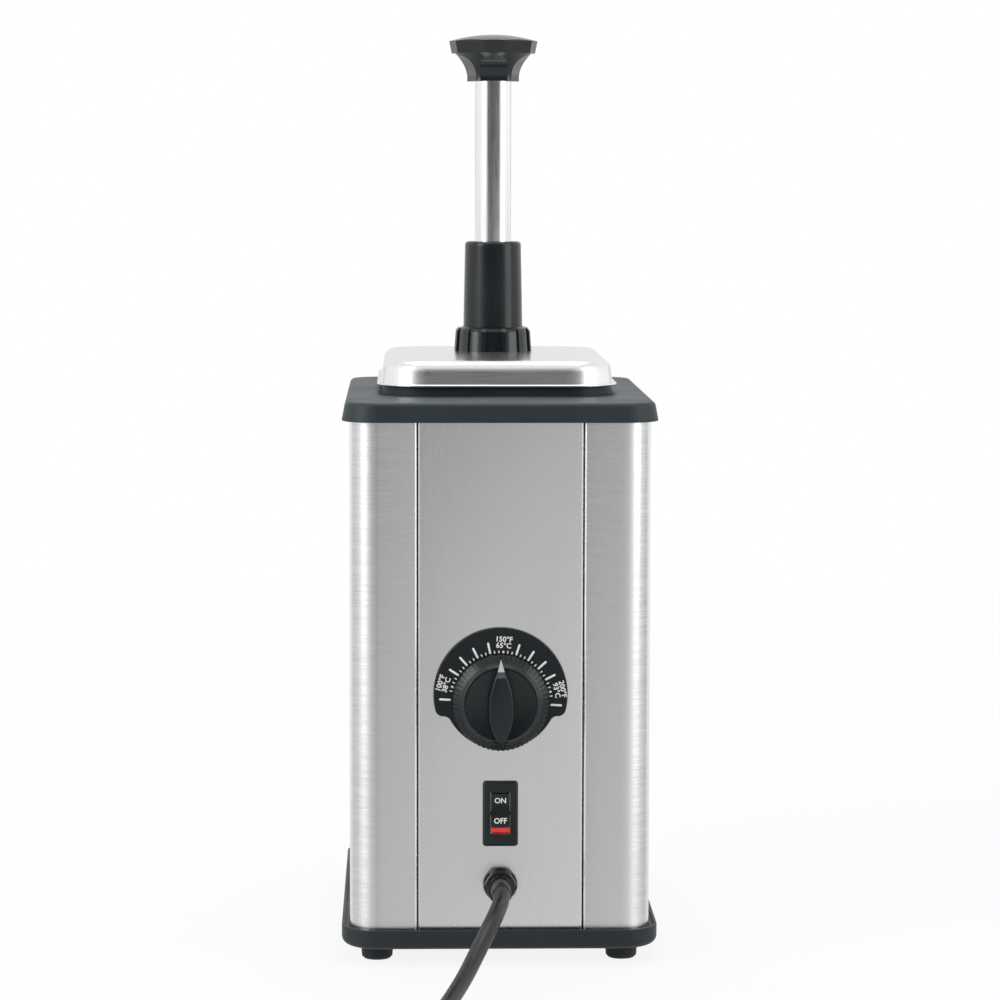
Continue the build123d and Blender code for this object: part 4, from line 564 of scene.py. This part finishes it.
def rounded_ring(width, length, corner, z, steps=8):
    """Rounded rectangle round the jar's middle, as one ring of points."""
    centres = [(1, 1, 0), (-1, 1, 90), (-1, -1, 180), (1, -1, 270)]
    ring = []
    for x, y, start in centres:
        middle = (x * (width / 2 - corner), JAR_Y + y * (length / 2 - corner))
        ring += [(px, py, z) for px, py, _, _ in arc(middle, corner, start, start + 90, steps)]
    return ring


def add_jar(steel, plastic):
    """Jar with a slim rolled rim, hung on a raised plastic rim round the cover's opening."""
    rings = []

    def wall(inset, z, grow=0.0):
        """A ring on the jar's drawn wall, moved inward by inset and outward by grow."""
        drawn = (JAR_TOP - z) * math.tan(math.radians(0.5))
        change = grow - inset - drawn
        rings.append(rounded_ring(0.114 + 2 * change, 0.158 + 2 * change, 0.022 + change, z))

    for k in range(7):
        angle = math.radians(90 * k / 6)
        wall(0.012 * (1 - math.sin(angle)), JAR_LOW + 0.012 * (1 - math.cos(angle)))
    for grow, z in ((0, 0.2896), (0.0016, 0.2896), (0.0020, 0.2900), (0.0020, 0.2918), (0.0016, 0.2922), (0, 0.2922)):
        wall(0, z, grow)
    wall(0, JAR_TOP - 0.0003)
    wall(0.0003, JAR_TOP)
    wall(0.0007, JAR_TOP)
    wall(0.001, JAR_TOP - 0.0003)
    for k in range(6, -1, -1):
        angle = math.radians(90 * k / 6)
        wall(0.001 + 0.011 * (1 - math.sin(angle)), JAR_LOW + 0.001 + 0.011 * (1 - math.cos(angle)))
    finish_piece("jar_drawn", *bridge(rings), steel, "food_jar", "stainless_plain", "jar")

    def rim(grow, z):
        return rounded_ring(0.1156 + 2 * grow, 0.1596 + 2 * grow, 0.0228 + grow, z)

    low, high = 0.2849, 0.2896
    section = [(0, low), (0.002, low), (0.002, high - 0.0005), (0.0015, high), (0.0003, high), (0, high - 0.0003), (0, low)]
    verts, faces = bridge([rim(grow, z) for grow, z in section], cap=False)
    finish_piece("opening_rim", verts, faces, plastic, "root", "black_cover")


def add_lid_lip(steel):
    """Rolled hem along the lid's lip."""
    rings = []
    for k in range(13):
        turn = math.tau * k / 12
        grow = -0.0003 + 0.0008 * math.cos(turn)
        rings.append(rounded_ring(0.124 + 2 * grow, 0.168 + 2 * grow, 0.027 + grow, 0.2901 + 0.0008 * math.sin(turn)))
    verts, faces = bridge(rings, cap=False)
    finish_piece("lid_hem", verts, faces, steel, "pump", "stainless_plain")


def add_return_spring(steel):
    """Round wire spring in the CAD spring's place, riding with the pump."""
    lowest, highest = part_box("return_spring")
    wire = 0.0009
    middle = ((lowest.x + highest.x) / 2, (lowest.y + highest.y) / 2)
    reach = (highest.x - lowest.x) / 2 - wire
    low, high = lowest.z + wire, highest.z - wire
    turns, steps, sides = 7, 40, 10
    rings = []
    for k in range(turns * steps + 1):
        share = k / (turns * steps)
        turn = math.tau * turns * share
        out = (math.cos(turn), math.sin(turn))
        ring = []
        for side in range(sides):
            angle = math.tau * side / sides
            radius = reach + wire * math.cos(angle)
            height = low + (high - low) * share + wire * math.sin(angle)
            ring.append((middle[0] + radius * out[0], middle[1] + radius * out[1], height))
        rings.append(ring)
    spring = finish_piece("spring_coil", *bridge(rings), steel, "pump", "hardware_steel", "return_spring")
    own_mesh(spring)


def on_dial(x, up, out):
    """From the dial's own frame, in millimetres: right, up and outward from the panel."""
    return (x / 1000, PANEL_FACE - out / 1000, DIAL_Z + up / 1000)


def add_dial_knob(plastic):
    """Skirt with a ring of grooves, a dished grip and a leaf-shaped finger bar."""
    low, rim, shoulder, face, dish = 2.8, 4.6, 8.4, 9.8, 9.2
    groove = 0.75
    outside = [
        (0.01, dish, 0), (17.4, dish, 0), (17.75, dish + 0.1, 0), (18.05, face - 0.1, 0), (18.3, face, 0), (18.6, face, 0),
        (18.85, face - 0.2, 0), (19.5, shoulder, 0), (20.9, 7.31, 0), (21.25, 7.04, 0.8), (23.9, 4.99, 1), (24.3, 4.6, 1),
        (24.4, 4.45, 1), (24.4, 3.6, 0.35), (24.4, low + 0.2, 0), (24.2, low, 0), (22.2, low, 0), (18.8, 6.0, 0), (7.0, 6.0, 0),
        (7.0, low, 0), (3.05, low, 0), (3.05, 7.8, 0), (0.01, 7.8, 0),
    ]
    angles = []
    for k in range(60):
        angles += [(6 * k + offset, cut) for offset, cut in ((-1.75, 0), (-1.15, 1), (1.15, 1), (1.75, 0))]
    rings = []
    for radius, out, share in outside:
        ring = []
        for degrees, cut in angles:
            drop = groove * share * cut
            place = radius - 0.6 * drop
            turn = math.radians(degrees)
            ring.append(on_dial(place * math.sin(turn), place * math.cos(turn), out - 0.8 * drop))
        rings.append(ring)
    verts, faces = bridge(rings)
    base, crown, edge = 8.0, 16.9, 0.9
    stations = []
    for y in [-18.29, -18.2, -17.9, -17.4, -16.6, -15.6, -14.0, -11.5, -9.0, -6.0, -2.5, 1.0, 4.5, 7.5, 10.0, 12.0, 13.6,
              14.3, 15.2, 16.6, 18.5, 20.5, 22.5, 23.7]:
        stations.append((y, bar_half_width(y), min(crown, rim + (25.0 - y) * (crown - rim) / 10.7)))
    rings = []
    for y, half, top in stations:
        foot = base if y < 18.0 else rim - 0.4
        round_off = min(edge, half * 0.6)
        lean = math.tan(math.radians(5)) * max(0.0, top - foot)
        shoulder_x = max(half - lean, half * 0.5)
        side = [(half, foot)]
        for k in range(5):
            angle = math.radians(90 * k / 4)
            side.append((shoulder_x - round_off * (1 - math.cos(angle)), top - round_off * (1 - math.sin(angle))))
        ring = side + [(-x, out) for x, out in reversed(side)]
        rings.append([on_dial(x, y, out) for x, out in ring])
    bar_verts, bar_faces = bridge(rings)
    shift = len(verts)
    faces = faces + [tuple(shift + i for i in f) for f in bar_faces]
    finish_piece("dial_grip", verts + bar_verts, faces, plastic, "dial", "control_black", "dial_knob", sharp=40.0)


def bar_half_width(y):
    """Half the width of the finger bar: a leaf widest just below the shaft."""
    if y > 16.6:
        return max(0.12, 2.7 * (24.0 - y) / 7.4)
    if y < -15.5:
        return math.sqrt(max(0.01, 4.257**2 - (y + 14.043) ** 2))
    radius = 44.57 if y > -2.5 else 29.67
    return 7.0 - radius + math.sqrt(radius**2 - (y + 2.5) ** 2)


def add_strain_relief(plastic):
    """Round flange, a nut with six flats and a slender boot round the cord."""
    sections = [
        (0.01, -9.9, 0), (5.6, -9.9, 0), (6.6, -7.9, 0), (6.6, 0.0, 0), (8.3, 0.0, 0), (8.65, 0.35, 0), (8.65, 1.5, 0),
        (8.3, 1.85, 0), (8.0, 2.0, 1), (8.6, 2.2, 1), (8.6, 6.0, 1), (8.2, 6.6, 1), (7.3, 7.0, 0), (5.6, 7.2, 0),
        (5.3, 7.6, 0), (5.2, 12.0, 0), (4.9, 22.8, 0), (4.6, 23.5, 0), (4.3, 23.7, 0), (0.01, 23.7, 0),
    ]
    rings = []
    for radius, out, flats in sections:
        ring = []
        for k in range(72):
            degrees = 5 * k
            turn = math.radians(degrees)
            from_flat = math.radians((degrees % 60) - 30)
            reach = min(radius, (radius - 0.9) / math.cos(math.radians(30) - abs(from_flat))) if flats else radius
            ring.append((reach * math.sin(turn) / 1000, PANEL_FACE - out / 1000, RELIEF_END[2] + reach * math.cos(turn) / 1000))
        rings.append(ring)
    finish_piece("relief_nut", *bridge(rings), plastic, "root", "relief_black", "strain_relief")


# ---------------------------------------------------------------- printed marks
def flat_text(words, size, body_turn, place, name, bold=0.00008):
    """Raised print: words as a thin mesh, standing on a face that looks toward -Y."""
    data = bpy.data.curves.new(name, "FONT")
    data.body = words
    data.size = size
    data.offset = bold
    data.align_x = "CENTER"
    data.align_y = "CENTER"
    data.extrude = PRINT_DEPTH
    data.resolution_u = 3
    holder = bpy.data.objects.new(name, data)
    SCENE.collection.objects.link(holder)
    bpy.context.view_layer.update()
    mesh = bpy.data.meshes.new_from_object(holder)
    bpy.data.objects.remove(holder)
    upright = Matrix.Rotation(math.radians(90), 4, "X")
    mesh.transform(Matrix.Translation(place) @ body_turn @ upright)
    return mesh


def bar_mesh(width, length, depth, transform):
    """A thin printed bar with rounded ends, as a mesh."""
    half, corner = length / 2 - width / 2, width / 2
    outline = []
    for sign in (1, -1):
        for k in range(5):
            angle = math.pi * k / 4 + (0 if sign > 0 else math.pi)
            outline.append((corner * math.cos(angle), sign * half + corner * math.sin(angle)))
    count = len(outline)
    verts = [(x, -depth, z) for x, z in outline] + [(x, depth, z) for x, z in outline]
    faces = [list(range(count)), list(range(2 * count - 1, count - 1, -1))]
    for i in range(count):
        j = (i + 1) % count
        faces.append([j, i, count + i, count + j])
    mesh = bpy.data.meshes.new("bar")
    mesh.from_pydata(verts, [], faces)
    mesh.transform(transform)
    return mesh


def join_meshes(name, meshes, material, body):
    """One object out of several meshes."""
    verts, faces = [], []
    for mesh in meshes:
        base = len(verts)
        verts += [tuple(v.co) for v in mesh.vertices]
        faces += [[base + i for i in p.vertices] for p in mesh.polygons]
    joined = bpy.data.meshes.new(name)
    joined.from_pydata(verts, [], faces)
    joined.update()
    joined.materials.append(material)
    piece = bpy.data.objects.new(name, joined)
    SCENE.collection.objects.link(piece)
    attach(piece, body)
    return piece


def add_scale_marks(white):
    """Ticks and temperatures round the dial, turned a little clockwise as a hand-set plate is."""
    axis = Vector((0, PLATE_FACE - PRINT_DEPTH, DIAL_Z))
    meshes = []

    def on_ring(degrees, radius):
        """Frame whose Z points outward at an angle clockwise from the top, seen from behind the counter."""
        turn = Matrix.Rotation(math.radians(degrees + SCALE_TURN), 4, "Y")
        return Matrix.Translation(axis) @ turn @ Matrix.Translation((0, 0, radius))

    texts = {-75: ("100°F", "38°C"), 0: ("150°F", "65°C"), 75: ("200°F", "93°C")}
    for degrees in range(-90, 91, 5):
        near_text = min(abs(degrees - other) for other in texts)
        if degrees % 15 == 0 and near_text:
            meshes.append(bar_mesh(0.00105, 0.0060, PRINT_DEPTH, on_ring(degrees, 0.0280)))
        elif abs(degrees) != 85:
            width, length = (0.0011, 0.0014) if near_text == 0 else (0.0006, 0.0015)
            meshes.append(bar_mesh(width, length, PRINT_DEPTH, on_ring(degrees, 0.0256)))
    for degrees, rows in texts.items():
        for words, radius in zip(rows, (0.0319, 0.0287)):
            spin = Matrix.Rotation(math.radians(degrees + SCALE_TURN), 4, "Y")
            place = Matrix.Translation(axis) @ spin @ Vector((0, 0, radius))
            meshes.append(flat_text(words, 0.0037, spin, place, "scale_text"))
    join_meshes("dial_scale_marks", meshes, white, "root")


def lay_on_face(mesh, node):
    """Moves each vertex of a print onto a node's surface, seen from behind the counter."""
    source = NODES[node].data
    tree = BVHTree.FromPolygons([v.co for v in source.vertices], [p.vertices for p in source.polygons])
    front = min(v.co.y for v in mesh.vertices)
    for vertex in mesh.vertices:
        start = Vector((vertex.co.x, -0.2, vertex.co.z))
        hit = tree.ray_cast(start, Vector((0, 1, 0)))[0]
        proud = 2 * PRINT_DEPTH if vertex.co.y < front + PRINT_DEPTH else -PRINT_DEPTH
        vertex.co.y = hit.y - proud


def add_rocker_marks(white):
    """ON and OFF printed on the rocker's dished face."""
    meshes = []
    for words, height in (("ON", ON_Z), ("OFF", OFF_Z)):
        mesh = flat_text(words, 0.0038, Matrix.Identity(4), Vector((0, -0.13, height)), "rocker_text", 0.00006)
        lay_on_face(mesh, "rocker")
        meshes.append(mesh)
    join_meshes("rocker_marks", meshes, white, "switch_rocker")


# ---------------------------------------------------------------- stage and light
def add_stage():
    """A white floor. Camera rays see it near white, with the object's shadow; glossy rays see the studio."""
    mesh = bpy.data.meshes.new("floor")
    reach = 6.0
    mesh.from_pydata([(-reach, -reach, 0), (reach, -reach, 0), (reach, reach, 0), (-reach, reach, 0)], [], [(0, 1, 2, 3)])
    floor = bpy.data.objects.new("floor", mesh)
    SCENE.collection.objects.link(floor)
    material, tree, shader = new_material("floor_white", (0.8, 0.8, 0.8), 0.9)
    output = next(n for n in tree.nodes if n.type == "OUTPUT_MATERIAL")
    path = tree.nodes.new("ShaderNodeLightPath")
    coordinates = tree.nodes.new("ShaderNodeTexCoord")
    distance = tree.nodes.new("ShaderNodeVectorMath")
    distance.operation = "LENGTH"
    tree.links.new(coordinates.outputs["Object"], distance.inputs[0])
    glow = tree.nodes.new("ShaderNodeEmission")
    share = ramp(tree, distance.outputs["Value"], 0.88, 1.0, 0.35, 1.6)
    seen = mix_shaders(tree, share, shader.outputs["BSDF"], glow.outputs["Emission"])
    lit = mix_shaders(tree, path.outputs["Is Camera Ray"], shader.outputs["BSDF"], seen)
    clear = tree.nodes.new("ShaderNodeBsdfTransparent")
    shown = mix_shaders(tree, path.outputs["Is Glossy Ray"], lit, clear.outputs["BSDF"])
    tree.links.new(shown, output.inputs["Surface"])
    mesh.materials.append(material)


def mix_shaders(tree, factor, first, second):
    node = tree.nodes.new("ShaderNodeMixShader")
    tree.links.new(factor, node.inputs["Fac"])
    tree.links.new(first, node.inputs[1])
    tree.links.new(second, node.inputs[2])
    return node.outputs["Shader"]


# Brightness of the studio by direction, in degrees from the control side toward +X.
LOW_WALLS = [
    (-180, 1.05), (-134, 1.0), (-124, 0.52), (-98, 0.50), (-86, 0.80), (-73, 1.30), (-60, 1.10), (-44, 0.80),
    (-28, 0.58), (-16, 0.39), (-9, 0.25), (-4, 0.53), (4, 0.62), (14, 0.70), (28, 0.84), (40, 1.12), (52, 1.32),
    (66, 1.10), (86, 0.66), (106, 0.38), (115, 0.22), (122, 0.60), (134, 1.0), (180, 1.05),
]
HIGH_WALLS = [
    (-180, 0.86), (-158, 0.88), (-151, 0.95), (-146, 0.40), (-140, 1.0), (-120, 1.0), (-60, 1.10), (-46, 1.0),
    (-39, 0.50), (-33, 0.12), (0, 0.06), (35, 0.12), (42, 0.50), (52, 1.12), (120, 1.12), (140, 1.0), (147, 0.40),
    (152, 0.95), (158, 0.88), (180, 0.86),
]
BROW_WALLS = [
    (-180, 0.86), (-120, 1.0), (-60, 1.05), (-44, 1.0), (-26, 0.52), (-12, 0.28), (6, 0.25), (22, 0.34), (36, 0.68),
    (50, 1.08), (140, 1.0), (180, 0.86),
]
FLOOR_TONE = 0.70
CEILING_TONE = 0.92


def wall_ramp(tree, share, stops):
    node = tree.nodes.new("ShaderNodeValToRGB")
    elements = node.color_ramp.elements
    while len(elements) < len(stops):
        elements.new(0.5)
    for element, (degrees, value) in zip(elements, stops):
        element.position = (degrees + 180) / 360
        element.color = (value, value, value, 1)
    tree.links.new(share, node.inputs["Fac"])
    return node.outputs["Color"]


def add_world():
    """White to the camera; to glossy surfaces, a studio with softboxes at the sides; an even light elsewhere."""
    world = bpy.data.worlds.new("studio")
    SCENE.world = world
    world.use_nodes = True
    tree = world.node_tree
    background = next(n for n in tree.nodes if n.type == "BACKGROUND")
    output = next(n for n in tree.nodes if n.type == "OUTPUT_WORLD")
    coordinates = tree.nodes.new("ShaderNodeTexCoord")
    split = tree.nodes.new("ShaderNodeSeparateXYZ")
    tree.links.new(coordinates.outputs["Generated"], split.inputs["Vector"])
    toward = math_node(tree, "MULTIPLY", split.outputs["Y"], -1.0)
    share = ramp(tree, math_node(tree, "ARCTAN2", split.outputs["X"], toward), 0.0, 1.0, -math.pi, math.pi)
    rise = split.outputs["Z"]
    low, high = wall_ramp(tree, share, LOW_WALLS), wall_ramp(tree, share, HIGH_WALLS)
    walls = mix_colours(tree, ramp(tree, rise, 0.0, 1.0, -0.075, 0.0), low, high)
    walls = mix_colours(tree, ramp(tree, rise, 0.0, 1.0, 0.10, 0.20), walls, wall_ramp(tree, share, BROW_WALLS))
    walls = mix_colours(tree, ramp(tree, rise, 0.0, 1.0, -0.08, -0.26), walls, (FLOOR_TONE,) * 3)
    walls = mix_colours(tree, ramp(tree, rise, 0.0, 1.0, 0.35, 0.75), walls, (CEILING_TONE,) * 3)
    room = tree.nodes.new("ShaderNodeBackground")
    tree.links.new(walls, room.inputs["Color"])
    even = tree.nodes.new("ShaderNodeBackground")
    even.inputs["Color"].default_value = (1, 1, 1, 1)
    even.inputs["Strength"].default_value = 0.62
    background.inputs["Color"].default_value = (1, 1, 1, 1)
    background.inputs["Strength"].default_value = 1.0
    path = tree.nodes.new("ShaderNodeLightPath")
    direct = math_node(tree, "MAXIMUM", path.outputs["Is Camera Ray"], path.outputs["Is Transmission Ray"])
    reflected = mix_shaders(tree, path.outputs["Is Glossy Ray"], even.outputs["Background"], room.outputs["Background"])
    shown = mix_shaders(tree, direct, reflected, background.outputs["Background"])
    tree.links.new(shown, output.inputs["Surface"])


def add_light(name, place, target, size, power):
    data = bpy.data.lights.new(name, "AREA")
    data.shape = "RECTANGLE"
    data.size, data.size_y = size
    data.energy = power
    light = bpy.data.objects.new(name, data)
    light.location = place
    light.rotation_euler = (Vector(target) - Vector(place)).to_track_quat("-Z", "Y").to_euler()
    SCENE.collection.objects.link(light)


def add_lights():
    middle = (0, 0, 0.22)
    add_light("softbox_left", (-1.6, -0.9, 1.1), middle, (0.7, 1.4), 14)
    add_light("softbox_right", (1.7, -0.8, 0.9), middle, (0.9, 1.4), 8)
    add_light("softbox_top", (0, 0.3, 2.0), middle, (1.6, 1.2), 14)


def main():
    SCENE.view_settings.view_transform = "Standard"
    add_camera()
    add_cord()
    paint_nodes()
    white = printed_mark("white_print", (0.88, 0.88, 0.86))
    add_scale_marks(white)
    add_rocker_marks(white)
    add_stage()
    add_world()
    add_lights()


main()
